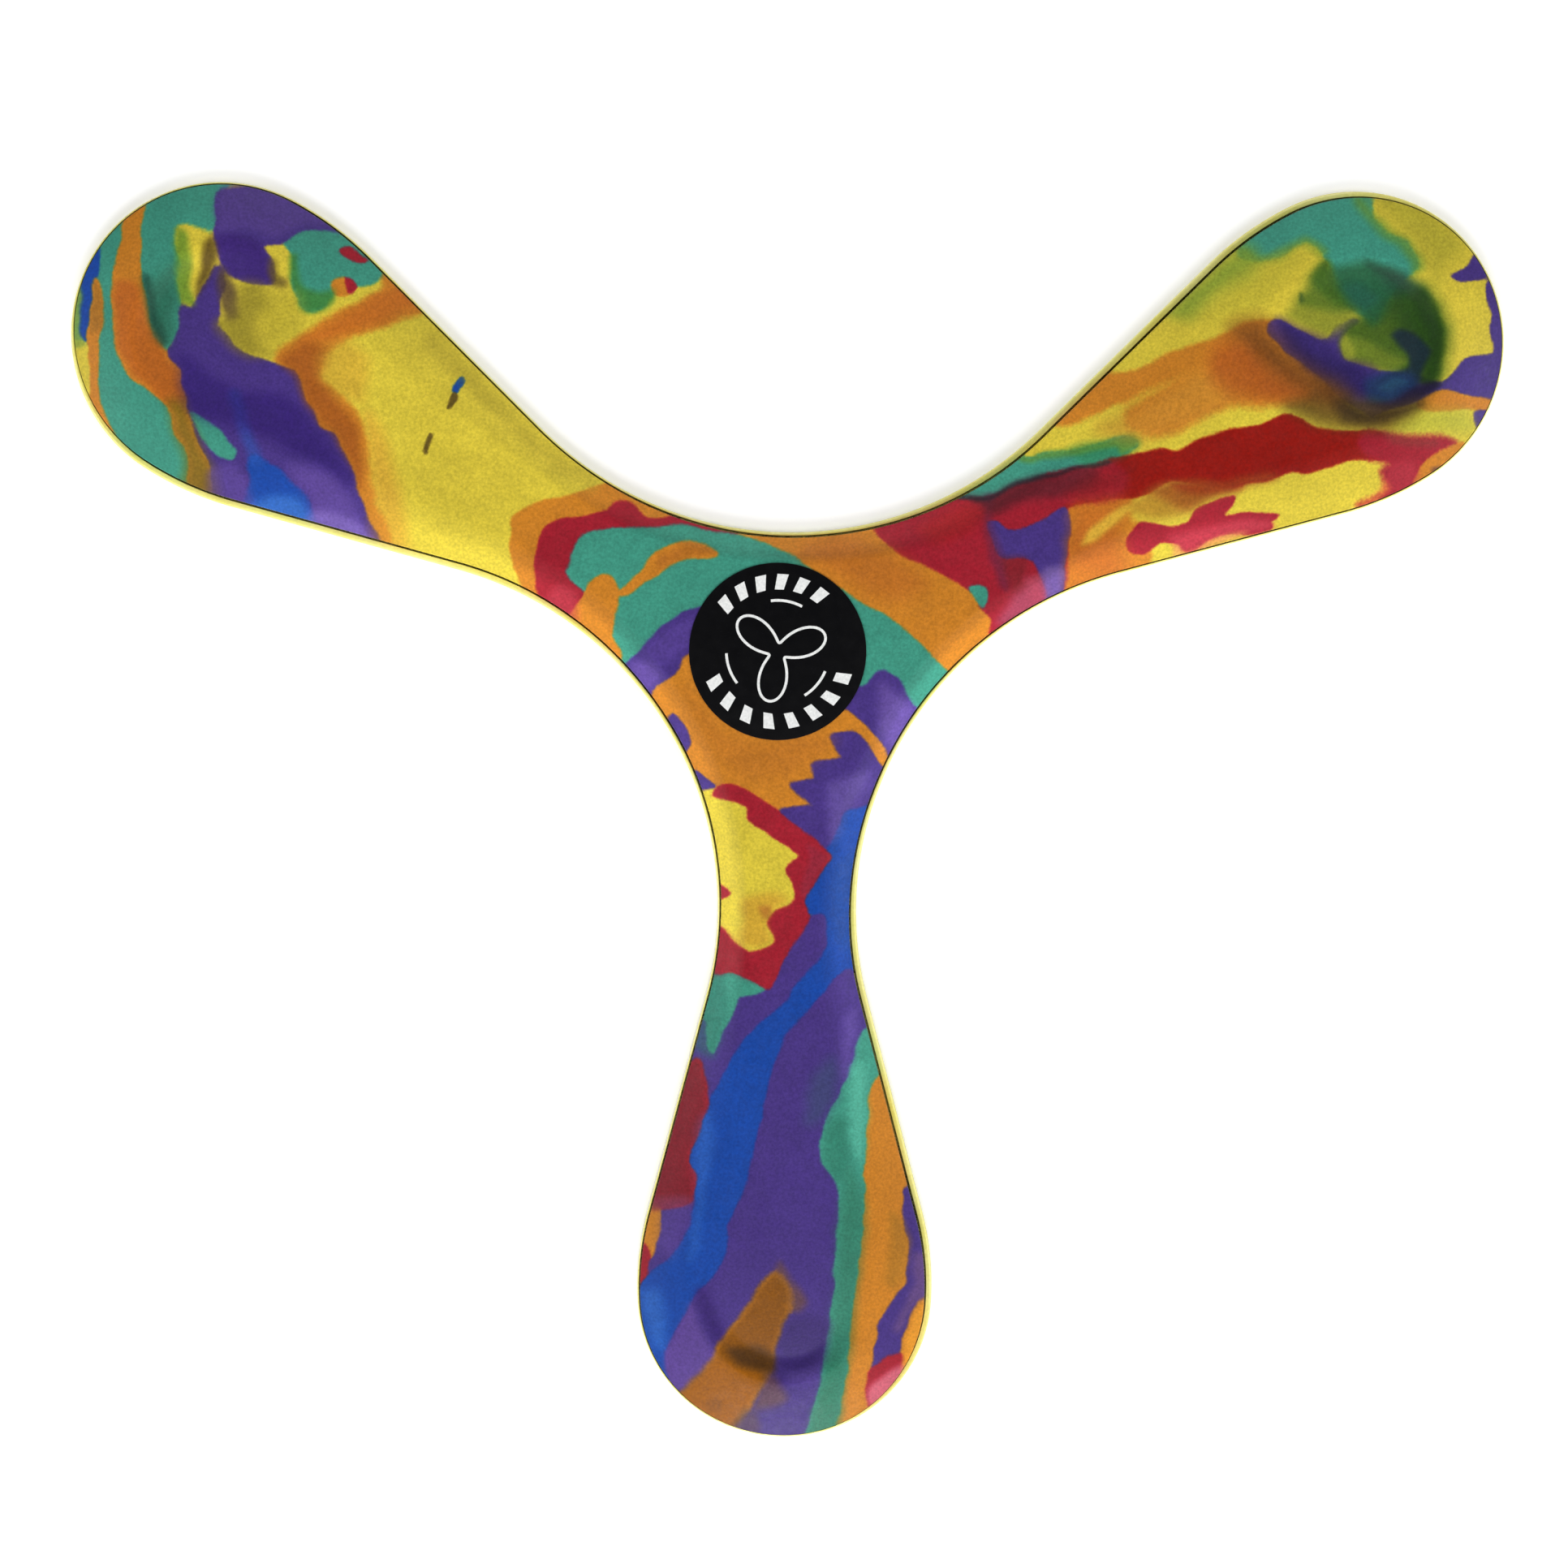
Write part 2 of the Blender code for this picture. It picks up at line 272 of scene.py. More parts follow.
HUB = [
    ("orange", 0.9, [(-44, 5), (-46.5, 12), (-50.3, 15.5), (-51.8, 20), (-51.8, 28), (-48, 30.5),
     (-43, 31.7), (-38.5, 33.2), (-33.5, 34.5), (-30, 38), (-10, 36), (20, 36), (41, 20), (44, 2),
     (30, -4), (0, 0), (-30, 0)]),
    ("crimson", 0.8, [(-43, 6), (-46, 12), (-47.6, 16), (-47.2, 22), (-46, 26), (-44, 27.4), (-38, 28.5),
     (-34.3, 29.5), (-32.5, 30.8), (-30.2, 30.9), (-26.5, 28.2), (-20.2, 28.3), (-13.8, 27.2),
     (-9.2, 25.5), (-12.9, 24.6), (-20, 24), (-34, 24), (-37, 18), (-38.5, 14.3), (-39.5, 11.5),
     (-40, 6)]),
    ("teal", 0.9, [(-41.7, 18.2), (-40.7, 20), (-39.5, 24), (-37.3, 25.5), (-30, 26), (-22.5, 26.8),
     (-16.5, 25.8), (-10.2, 25), (-4.3, 23.1), (1.2, 21), (4.5, 18.2), (11.2, 14), (18.5, 9.5),
     (23.9, 5.8), (28.5, 1), (33, -5), (27, -12), (10, -6), (-15, 0), (-28, -4), (-32, 0), (-34, 8),
     (-37, 12.5), (-40.3, 16)]),
    ("orange", 0.8, [(-42, 7), (-39.4, 12), (-37.3, 15.7), (-35.3, 17.3), (-33.5, 17.1), (-31.8, 14),
     (-32.9, 10), (-33.3, 6), (-31.5, 1), (-37, 0)]),
    ("orange", 0.8, [(-31.8, 14.2), (-30, 14), (-26.1, 16.7), (-23, 19.2), (-19.3, 20.5), (-14.7, 21),
     (-13.3, 21.7), (-16, 23.3), (-20, 23.5), (-24.7, 21.7), (-27.5, 18.5)]),
    ("orange", 0.9, [(-15, 6), (-20, 1.8), (-22.8, -2.2), (-26, -4.8), (-30, -10), (-24, -25),
     (-15.2, -22.8), (-10.2, -22.4), (-4.7, -25.1), (-1, -27), (4.3, -26), (2.5, -24), (1, -21.8),
     (5.3, -21.2), (5, -18), (10.4, -17.2), (8.2, -13), (12, -11.8), (12, -4), (0, 4)]),
    ("purple", 0.8, [(-14, 11.4), (-19.3, 10.4), (-23.8, 7.6), (-29.6, 1), (-34, -3), (-28, -8),
     (-24.8, -3.2), (-21.3, -0.8), (-20.2, 1.6), (-18.5, 2.8), (-14, 4)]),
    ("purple", 0.7, [(-22, -9), (-20.3, -10.2), (-18.8, -12.6), (-18.4, -14.5), (-20, -16), (-23, -13)]),
    ("purple", 0.7, [(-19.5, -19.6), (-17.3, -20), (-14.5, -21.9), (-13.8, -22.7), (-17, -23)]),
    ("purple", 0.9, [(12, -4.2), (15, -3), (17.2, -0.6), (18.6, -0.5), (20.4, -1.9), (22, -3.8),
     (23.5, -7), (26.5, -9), (30, -14), (20, -36), (13, -40), (6, -36), (2.5, -31), (-1.2, -27.3),
     (4.6, -26), (2.5, -24), (1, -21.8), (5.3, -21.2), (5, -18), (10.4, -17.2), (8.2, -13), (10.5, -11.7),
     (10.6, -8)]),
    ("orange", 0.7, [(9, -11.6), (10.8, -8), (14.4, -10.7), (17, -13.5), (19.2, -16.8), (20.5, -20.5),
     (18.6, -18.5), (15.7, -14.2), (12.5, -11.9)]),
]
RIGHT_WING = [
    ("crimson", 0.9, [(15.3, 28.5), (16.8, 25.8), (20.7, 22.2), (26.2, 19.5), (31.6, 17), (35, 14.4),
     (36.5, 11.8), (38.7, 9), (40, 3), (56, 8), (53.5, 14), (54, 31), (62, 34), (66, 37), (62, 40),
     (46, 37), (37, 33.5), (31, 38), (14, 34)]),
    ("teal", 0.8, [(34.4, 15.4), (36, 15.9), (37.2, 15.1), (37.4, 12.9), (36.9, 11.8), (35.4, 13.3)]),
    ("teal", 0.9, [(31.6, 32.4), (29, 37), (42.5, 43), (44.3, 39.6), (46.5, 39.8), (48, 40.7),
     (55.7, 41.7), (61.1, 43.6), (64.2, 43.8), (65.2, 42.6), (61.8, 39.9), (57.2, 38.3), (52.6, 37.9),
     (48, 36.8), (43.4, 35.5), (39, 33.2), (35, 32.7)]),
    ("orange", 1.4, [(53.2, 31), (53.4, 22), (52.3, 14), (51, 8), (68, 14), (68.2, 20), (68, 23), (65, 25),
     (66.5, 28), (65.5, 31), (66, 34), (62, 33.6), (57, 32)]),
    ("yellow", 2.2, [(65, 28.5), (67, 28.2), (70, 27), (73, 27), (75.5, 27.8), (77.5, 30), (80, 32.3),
     (86, 33), (90, 37), (80, 36), (72, 35.8), (67, 34.2), (64.5, 31.5)]),
    ("orange", 3.2, [(63.5, 49), (68, 52), (73, 55.5), (79, 59.5), (86, 64), (91, 64), (93.5, 61.5),
     (98.5, 57.5), (103, 53), (99, 51), (92, 50.3), (84, 50.2), (79, 48.5), (74.5, 46), (69, 44.3),
     (64, 45.5)]),
    ("orange", 1.7, [(40, 48), (48, 46.6), (53, 46.2), (57.5, 48), (62.6, 50.6), (68, 53.4), (74, 56.3),
     (79, 57.5), (86, 60), (90.3, 65.4), (86, 65.3), (82.5, 63.4), (79, 61.9), (72.6, 60.1), (67.2, 57),
     (61, 55.5), (55, 56.5)]),
    ("red", 0.9, [(52, 31), (50, 36.5), (57.2, 38.3), (61.8, 39.8), (66, 41), (70.3, 41.5), (72.8, 41),
     (77, 43.3), (82, 45), (89, 46.5), (93.5, 48), (96, 47.4), (99, 45.8), (105, 45), (111, 45.2),
     (114, 42), (112, 40.4), (106, 40.3), (102, 38.6), (97.5, 37.5), (95, 38.1), (91, 36.5), (84, 34.7),
     (77, 35.4), (72, 35.6), (67.2, 33.5), (60.3, 32.6)]),
    ("crimson", 2.6, [(50, 31.3), (49, 36.6), (56, 38), (61, 39), (64, 36.5), (62, 33), (57, 31.8)]),
    ("crimson", 2.4, [(108.4, 44.8), (110.5, 45.2), (118, 44.3), (123.3, 44), (126, 42.8), (122.5, 41.2),
     (119.7, 38.6), (118, 34), (112, 30), (107.5, 31.3), (111, 32.6), (112.6, 34.8), (112, 37.8),
     (113.2, 39.3), (111, 40.3), (109.2, 40.6), (107.2, 42.6)]),
    ("orange", 0.8, [(119.3, 38.3), (120.7, 40.3), (124, 41.8), (127, 42.9), (130, 40), (121, 33),
     (118.3, 35.5)]),
    ("purple", 0.8, [(51.8, 30.6), (53, 28.5), (52.6, 22.8), (51.9, 17), (51.6, 9), (48.9, 9),
     (48.7, 15.8), (46.8, 20.2), (44, 21.3), (40.4, 21.2), (38.5, 25), (37.8, 27.4), (39.3, 27.8),
     (41.3, 26.2), (45.3, 27), (48.8, 28.6)]),
    ("crimson", 0.7, [(64, 24.8), (66.6, 27.8), (72.2, 26.8), (75.3, 27.7), (77, 30.5), (79, 31.4),
     (83.8, 32.8), (83.5, 31.3), (82, 29.8), (83, 29.1), (87.5, 29.8), (92.2, 29.4), (90.9, 28.3),
     (91.2, 26.9), (87, 25.9), (82, 25.7), (79, 24.3), (76.5, 22.7), (74.5, 22.7), (73.5, 24),
     (70.3, 24.1), (67, 22.2), (64.8, 22.7)]),
    ("teal", 1.2, [(84, 78.8), (84.8, 77.3), (88, 76.7), (91.5, 77.6), (94, 79.7), (96.3, 80.5),
     (98.8, 79.3), (101, 76), (103, 71.5), (105, 68), (108, 66.5), (109.5, 65), (111, 68.5), (114, 73),
     (117.3, 75.6), (117, 78), (115, 80.5), (111, 82.5), (108.5, 85), (107, 91), (88, 88)]),
    ("purple", 0.8, [(89.6, 65.2), (91.5, 65.7), (95, 64), (99, 62.3), (101, 62.5), (102.5, 64.7),
     (105, 65.8), (106.7, 65.4), (104.6, 64), (103.1, 61.5), (104, 58.6), (108, 57), (113, 56.2),
     (118, 55.6), (122.3, 54.3), (125.3, 56.8), (127.5, 59), (130.5, 59.4), (136, 60), (136, 52),
     (131.5, 51), (127.5, 52.4), (123, 53), (119, 51.3), (114, 50.2), (109.5, 48.2), (106.5, 50),
     (103, 52.5), (98, 56.8), (93.5, 60.3), (90.3, 63.2)]),
    ("orange", 0.9, [(118.3, 50.3), (120.5, 52.2), (123.5, 52.7), (128, 51.8), (133, 50.8), (132, 49),
     (127, 49.6), (121, 49.4)]),
    ("purple", 0.7, [(123.8, 74.4), (126, 73.5), (129.8, 73.6), (131.5, 75), (128.7, 78), (126.5, 76)]),
    ("purple", 0.7, [(130.9, 72.4), (132, 73.4), (137, 68), (137, 58), (133, 58.6), (132.5, 61),
     (131.5, 63.3), (131.9, 67), (130.9, 70)]),
    ("purple", 0.8, [(129.2, 48.6), (131.5, 49), (131, 46), (129.7, 46.4)]),
]
LOWER_WING = [
    ("purple", 0.9, [(4, -48), (7.5, -46), (20, -50), (40, -100), (40, -160), (-40, -160), (-40, -100),
     (-22, -74), (-14, -66), (-9, -61), (-3, -60), (0, -54)]),
    ("blue", 0.9, [(11.3, -28), (13, -27.3), (18, -28), (16, -56.5), (11.5, -57.5), (8.5, -60.5),
     (5, -64.5), (1.5, -68.5), (-1, -72), (-3, -78), (-4.2, -83), (-5.6, -90.5), (-7, -97), (-8.8, -103),
     (-11, -108), (-11.5, -113.5), (-14, -118.5), (-17.3, -122), (-20.5, -128), (-23, -133), (-23, -137.5),
     (-22.5, -144), (-34, -134), (-32, -120), (-27.5, -119.2), (-24, -116.4), (-20.8, -113.4), (-18, -109),
     (-17.2, -103), (-17.2, -97.5), (-18.2, -95), (-17.5, -91), (-15, -86.5), (-13.4, -82), (-10.5, -76.5),
     (-7.5, -72), (-5, -68.8), (0, -64.5), (3, -59.8), (7.3, -55.5), (8.2, -50), (7.3, -46.9), (3.2, -47),
     (2.9, -44), (4.2, -41), (6, -37), (9.2, -33), (10.8, -29.8)]),
    ("teal", 0.8, [(-17, -57.5), (-12.2, -58.8), (-8.3, -59), (-4.3, -61.6), (-6, -62.6), (-9.3, -63.4),
     (-10.3, -67), (-12.3, -70.3), (-13.6, -74), (-14.9, -72.5), (-15.2, -68), (-18, -64)]),
    ("crimson", 0.8, [(-13.8, -24), (-12.6, -22.6), (-10, -22.4), (-6.5, -24.2), (-2, -27.2), (1.5, -30.3),
     (6, -33.4), (8.5, -35.7), (6.9, -38.3), (5, -41.5), (3.4, -44.5), (4.1, -48.3), (2.2, -51.6),
     (0, -55), (-2, -59.7), (-3.4, -61.6), (-6.5, -60), (-10.5, -58.3), (-13.5, -58.6), (-14.5, -50),
     (-12.4, -49.8), (-10.3, -52.8), (-7.3, -54.8), (-4.8, -54.4), (-2.1, -52.7), (-2.7, -50.5),
     (-3.4, -49), (-2, -47), (1, -45.2), (2.1, -43.8), (1, -40.3), (0.1, -38.3), (2.6, -36.3), (0, -33.8),
     (-4, -31), (-7.2, -28.9), (-7.8, -26.2), (-12, -24.9)]),
    ("crimson", 0.6, [(-14, -41.6), (-12.3, -42), (-10.9, -43), (-12.3, -44), (-14, -44.3)]),
    ("crimson", 0.9, [(-17.3, -75.5), (-15.5, -80), (-14.9, -84), (-16.5, -89), (-18.3, -93),
     (-18.5, -95.8), (-17.3, -97.5), (-17.5, -101), (-18.5, -103.7), (-22, -104.8), (-25.5, -104.3),
     (-30, -101), (-24, -84)]),
    ("teal", 0.9, [(15, -70), (13.7, -73.5), (11.8, -79.5), (8.5, -86.8), (7, -91.5), (7.4, -95.5),
     (10.2, -99.5), (10.7, -104), (10.7, -109.5), (9.8, -116), (10, -121), (9.2, -127.5), (8.1, -135.5),
     (6.5, -144), (4.5, -152), (10.5, -152), (11.5, -145), (12.6, -137), (13.6, -126), (14.4, -119),
     (15.3, -111), (15.8, -103), (15.8, -96), (16.4, -86), (17.5, -80), (19.5, -77), (19, -68)]),
    ("orange", 0.8, [(17.3, -80.5), (16.3, -87), (15.8, -96), (15.8, -103), (15.3, -111), (14.4, -119),
     (13.6, -126), (12.6, -137), (11.5, -145), (10.8, -151), (19, -148), (16.8, -142), (16.8, -138),
     (17.8, -131), (19, -126), (21.5, -122), (23.4, -119.5), (23.9, -113), (23, -108), (22.9, -101),
     (25, -98), (21, -78)]),
    ("orange", 1.0, [(29.5, -122.3), (26, -124), (24.4, -128.3), (23.1, -133.5), (22.3, -138), (27, -138),
     (31, -130)]),
    ("crimson", 0.9, [(16.7, -138), (18.6, -135.8), (20.5, -134.5), (23, -134.2), (22.6, -137.5),
     (24, -139), (18, -145), (16.6, -143)]),
    ("orange", 0.9, [(-25.6, -103.5), (-24.3, -105), (-24, -108.5), (-24.8, -112.3), (-26.2, -114.5),
     (-30, -112), (-29, -104)]),
    ("crimson", 0.8, [(-27, -112), (-26.2, -114.5), (-26.5, -117.5), (-28, -120.3), (-32, -117)]),
    ("orange", 1.8, [(-1.5, -117.6), (-3.8, -119.5), (-5.2, -121.8), (-8, -126), (-11.5, -130.5),
     (-13, -133), (-16.5, -138), (-20, -141.8), (-22, -146), (-12, -151), (-9, -147), (-6.7, -144.6),
     (-5, -142), (-3.2, -137.8), (-2, -133.5), (-0.8, -129.5), (0.2, -126), (1.6, -124.5), (1.4, -121.5),
     (0.2, -119)]),
    ("purple", 0.8, [(-14.9, -143.6), (-12.4, -143.4), (-12.5, -145.2), (-14.4, -145)]),
]
PATCHES = LEFT_WING + HUB + RIGHT_WING + LOWER_WING

# Tints are thinner clouds over the pigments; some are the plastic's own tones, and many are painted shade,
# darker in and round the scoops,
# and painted light, lighter over bevels: 8-bit sRGB colour, strength, softness and outline, in mm
TINTS_AND_PAINTED_LIGHT = [
    # Left wing
    # Painted shade: darker purple along the left scoop's upper wall
    ((50, 26, 100), 0.6, 2.2, [(-106.7, 79.6), (-103, 80), (-98.6, 78.6), (-97.8, 76.5), (-97, 74),
     (-96.6, 71.8), (-100, 71.8), (-104.5, 73.4), (-106, 76)]),
    ((58, 118, 48), 0.8, 1.8, [(-93, 76), (-91.6, 76.3), (-91.3, 73), (-90.2, 70.6), (-87.5, 69.8),
     (-85.2, 70.3), (-85, 68), (-87, 66.3), (-89.3, 65.7), (-91.4, 67.2), (-92.4, 71)]),
    ((92, 76, 32), 0.75, 1.8, [(-97, 75.6), (-95.9, 75.3), (-94.8, 73), (-93.2, 72), (-94, 70.7),
     (-96.2, 70.9)]),
    ((80, 62, 46), 0.8, 2.0, [(-106, 73.6), (-104.6, 73.2), (-102.9, 69), (-103, 64.8), (-105, 64.6),
     (-106.3, 70)]),
    ((84, 62, 134), 0.6, 2.2, [(-106.3, 81), (-105.6, 88), (-96, 91), (-84, 85), (-83, 81), (-90, 82),
     (-96, 80), (-101, 81)]),
    ((130, 118, 34), 0.7, 4.0, [(-106.6, 64), (-104, 66), (-101.8, 71), (-98.5, 71), (-97, 68),
     (-99.5, 63), (-96.5, 58.3), (-101, 57.8), (-105, 60.5)]),
    # Painted shade: the next two darken the teal along the left scoop's outer wall
    ((28, 76, 56), 0.55, 4.0, [(-119.6, 69), (-117.4, 73), (-114.5, 75), (-113.4, 71), (-114.6, 65),
     (-115.6, 60), (-118.5, 61)]),
    ((22, 56, 44), 0.6, 1.8, [(-120.2, 72), (-118.9, 72), (-117.8, 66), (-116.3, 60.3), (-117.4, 59.5),
     (-119.2, 63)]),
    ((88, 128, 36), 0.75, 1.8, [(-114, 80.6), (-111.8, 79.8), (-111.5, 75), (-111.6, 70.5), (-110.6, 67),
     (-113.3, 67.6), (-114.2, 72)]),
    ((76, 58, 20), 0.8, 2.0, [(-109, 78.5), (-107.2, 79.8), (-106.4, 76), (-108, 72.3), (-110.2, 69),
     (-109.4, 74)]),
    ((172, 84, 26), 0.65, 2.0, [(-125.4, 71), (-121, 70.5), (-119.6, 64), (-116, 58), (-114, 54.5),
     (-113, 49), (-116, 48.8), (-119, 51.5), (-124.4, 57), (-125.3, 64)]),
    ((148, 76, 22), 0.75, 3.0, [(-95, 57), (-91, 60.5), (-86, 59), (-87, 54), (-84, 49), (-80.5, 44),
     (-80, 34), (-82, 38), (-85, 43), (-89.6, 48), (-92, 54)]),
    ((180, 88, 26), 0.5, 3.0, [(-92, 60.5), (-86, 64), (-74, 70.5), (-66, 70), (-74, 65), (-84, 61.5)]),
    ((112, 92, 20), 0.8, 4.0, [(-116, 49), (-113.2, 49), (-112, 45.5), (-109.6, 40), (-107.4, 36),
     (-107.4, 29), (-114, 29), (-113, 38)]),
    ((128, 148, 56), 0.8, 0.9, [(-131.4, 59.4), (-132, 61.8), (-132.2, 66), (-131.7, 70), (-130.7, 74),
     (-130, 77), (-136, 77), (-139, 66), (-136, 59)]),
    ((172, 60, 72), 0.5, 2.5, [(-43.8, 6.5), (-45.8, 12), (-43.4, 15.4), (-40, 13.4), (-40, 8)]),
    ((148, 100, 30), 0.6, 1.4, [(-129.3, 71), (-127.9, 69), (-127.9, 63), (-130, 62), (-130, 67)]),
    ((40, 80, 165), 0.55, 2.2, [(-104.6, 51), (-103, 44), (-100.8, 38), (-98.5, 38), (-100.6, 44),
     (-102.4, 51)]),
    # Painted light and shade: the purple darker over the flat, and the purple and blue lighter towards the
    # lower bevel
    ((40, 20, 98), 0.55, 4.0, [(-113.5, 58), (-104, 52), (-93, 50), (-88, 44), (-82.5, 36), (-84, 34),
     (-92, 39.5), (-101, 44), (-112.5, 48)]),
    ((92, 68, 146), 0.6, 2.5, [(-108.5, 36.5), (-104.5, 37.5), (-101.6, 35), (-100, 27), (-108.8, 28)]),
    ((62, 116, 196), 0.7, 3.0, [(-101.5, 30), (-97, 32), (-91.5, 31), (-89, 26), (-101, 25)]),
    ((96, 72, 150), 0.7, 4.0, [(-94, 37.5), (-87, 36.5), (-82, 32), (-78, 21), (-88, 24), (-90, 31)]),
    ((130, 108, 184), 0.6, 2.5, [(-89.5, 29), (-86, 29), (-80, 26.5), (-77.5, 20), (-90, 23)]),
    ((196, 152, 46), 0.6, 4.0, [(-88, 57.5), (-83.5, 61), (-79, 58), (-79.5, 50), (-84.5, 50.5),
     (-87, 53)]),
    ((200, 140, 45), 0.5, 4.0, [(-77, 14), (-71, 16), (-73, 33), (-76.5, 45), (-79.5, 47), (-78.5, 33)]),
    ((150, 132, 40), 0.35, 3.0, [(-66, 62), (-55, 51), (-46, 42), (-36, 36), (-37, 33), (-47, 39),
     (-57, 49), (-68, 59)]),
    ((160, 146, 40), 0.5, 4.5, [(-99, 69), (-92, 69.5), (-90.5, 63), (-97, 60)]),
    # Hub
    ((120, 60, 25), 0.25, 2.0, [(-24, 21), (-18, 23), (-14, 22), (-18, 21), (-24, 19)]),
    ((168, 92, 30), 0.55, 6.0, [(2, 22), (10, 25), (20, 22), (26, 16), (20, 13), (12, 16)]),
    ((166, 96, 32), 0.35, 5.0, [(-17, -6), (-12, -12), (-4, -14), (4, -12), (9, -14), (3, -19), (-1, -21),
     (-10, -20), (-16, -13), (-20, -4)]),
    ((92, 34, 66), 0.55, 1.8, [(37, 32.5), (38.6, 32.5), (38.4, 28), (39.6, 24), (41, 20.5), (41.5, 15),
     (39.8, 16), (38.3, 21), (37, 26)]),
    ((110, 28, 34), 0.6, 2.5, [(40.5, 20.8), (42, 15.5), (44.6, 16), (44.8, 20.8)]),
    ((150, 66, 90), 0.8, 3.0, [(39.5, 9), (43, 14.5), (48, 17.5), (48.6, 12.5), (43, 8)]),
    ((112, 88, 146), 0.7, 2.2, [(48.6, 19), (52.2, 19), (51.4, 13), (48.4, 12.5)]),
    ((84, 62, 140), 0.6, 2.5, [(-27, 3.5), (-23.5, 7), (-17, 9.5), (-17, 5), (-20.5, 2.5), (-24, 1)]),
    ((124, 100, 174), 0.5, 3.5, [(17.5, -3), (21.5, -5), (24.5, -9), (20.5, -16.5), (17.5, -12)]),
    ((122, 96, 170), 0.4, 2.5, [(-29.5, 0.5), (-26, 1), (-23.5, -1.5), (-26, -4.5), (-30, -5)]),
    ((156, 58, 78), 0.5, 2.0, [(44.6, 17.5), (46, 13.5), (48.3, 13), (47.6, 17.5)]),
    ((84, 24, 34), 0.75, 2.8, [(34, 32.6), (38.5, 32.6), (43, 35.2), (50, 36.8), (53, 37.8), (57.5, 38),
     (58, 35), (52, 33.2), (45, 31.8), (39, 29.5)]),
    ((122, 18, 22), 0.5, 4.0, [(52, 33), (58, 37), (64, 39), (64, 35), (57, 32.5)]),
    ((30, 26, 34), 0.8, 0.9, [(31.5, 32.6), (38.5, 32.9), (43, 35.6), (50, 37.2), (53, 38.2), (60, 39.2),
     (60, 38.7), (53, 37.5), (50, 36.5), (43, 34.9), (38.7, 32.2), (31.5, 31.9)]),
    ((160, 28, 26), 0.5, 4.0, [(25, 26.5), (33, 31), (37, 30), (34, 26), (28, 24)]),
    # Right wing
    ((40, 118, 74), 0.6, 3.0, [(53, 41.6), (60, 43.3), (64, 44), (65.5, 42.5), (62, 40), (56, 38.6)]),
    ((92, 130, 42), 0.7, 1.4, [(43.5, 40.2), (45.5, 39.6), (48, 41), (56, 42.3), (60, 43.6), (64.6, 44.4),
     (65.8, 42.8), (62.5, 40.6), (61.5, 42), (56, 41), (48, 39.8), (45.5, 38.5), (43.5, 39)]),
    ((166, 116, 36), 0.7, 3.5, [(65, 29.5), (70, 28.6), (75, 29.6), (78, 32), (84, 34), (78, 35.5),
     (69, 34.6), (65, 32)]),
    ((178, 92, 28), 0.6, 5.0, [(53.5, 30.5), (58, 32), (64, 32.5), (62, 25), (62, 19), (54, 19.5)]),
    ((168, 90, 28), 0.5, 4.0, [(53.5, 26), (62.5, 26), (65, 20.5), (62, 15), (53, 14)]),
    ((204, 164, 52), 0.9, 1.4, [(55.6, 23.8), (58, 24.5), (61, 27), (64.8, 30.3), (63.6, 31.4), (60, 29.6),
     (57, 26.6)]),
    ((142, 74, 24), 0.75, 3.0, [(68, 34), (75, 35.8), (84, 36), (90, 37.5), (92, 36.6), (84, 34),
     (79, 32.5), (76, 30.8), (72, 31.8)]),
    ((138, 40, 16), 0.6, 2.0, [(72, 35), (77, 35.6), (85, 35.4), (85, 34.2), (79, 33.4), (74, 33.8)]),
    ((118, 142, 44), 0.8, 5.0, [(71, 67), (79, 75.5), (85, 79.5), (88, 76.5), (85.5, 73.5), (80, 70.5),
     (75, 66)]),
    ((190, 132, 44), 0.55, 5.0, [(58, 46), (66, 49.5), (76, 56), (84, 56), (84, 51), (74, 46), (64, 43)]),
    ((95, 135, 50), 0.7, 2.4, [(105.5, 89.5), (107.8, 87), (109.5, 85), (112, 83), (115.5, 81),
     (118.2, 78), (118.8, 75.5), (116.5, 74.3), (116, 77), (113.5, 79.8), (110.5, 81.7), (108, 84),
     (105.5, 86.5)]),
    ((110, 138, 44), 0.6, 2.0, [(83, 79.5), (84.5, 77), (88, 75.8), (92, 76.7), (95.5, 79.6), (99, 77.5),
     (100.3, 79), (96.4, 81.4), (93.3, 80), (90, 78), (87.5, 77.5), (85, 79)]),
    ((168, 160, 46), 0.5, 5.0, [(78, 66), (88, 68), (97, 79), (88, 76), (80, 70)]),
    ((160, 152, 44), 0.65, 5.0, [(108, 90), (113, 84), (118, 79), (121, 73), (123, 77), (126, 80),
     (116, 90)]),
    # Painted shade: the next stains darken the right scoop, most along its tip-side and lower walls, and the
    # orange by its root side
    ((126, 132, 38), 0.85, 3.5, [(93, 67), (95.5, 71.5), (99, 76.8), (103, 72), (107, 67), (101, 62.8),
     (96, 65)]),
    ((84, 108, 30), 0.85, 2.5, [(95.3, 69), (97.5, 73), (100.3, 77), (103, 72), (107, 68), (103, 67.6),
     (99, 67.8)]),
    ((50, 88, 24), 0.7, 2.2, [(98, 73), (100.3, 76.8), (103.5, 71.5), (105, 68.6), (102, 69)]),
    ((54, 78, 28), 0.8, 0.7, [(95.3, 71.2), (95.9, 71), (96.1, 69.4), (95.4, 69.2)]),
    ((60, 88, 22), 0.95, 3.0, [(107, 66.2), (111, 69), (116, 71), (121, 66), (121, 58), (118, 56),
     (113, 56.8), (105, 58.6), (103.2, 61.5), (104.5, 64.8)]),
    ((30, 84, 52), 0.9, 3.2, [(101.8, 75.3), (105, 76.3), (109, 76.6), (115, 74), (116, 71), (113, 69.2),
     (110.8, 66), (109, 65.3), (107, 67.2), (104.4, 69.5), (102.6, 72)]),
    ((30, 86, 76), 0.5, 2.5, [(103.5, 72), (107, 72.5), (110, 70.5), (108, 68), (105, 69)]),
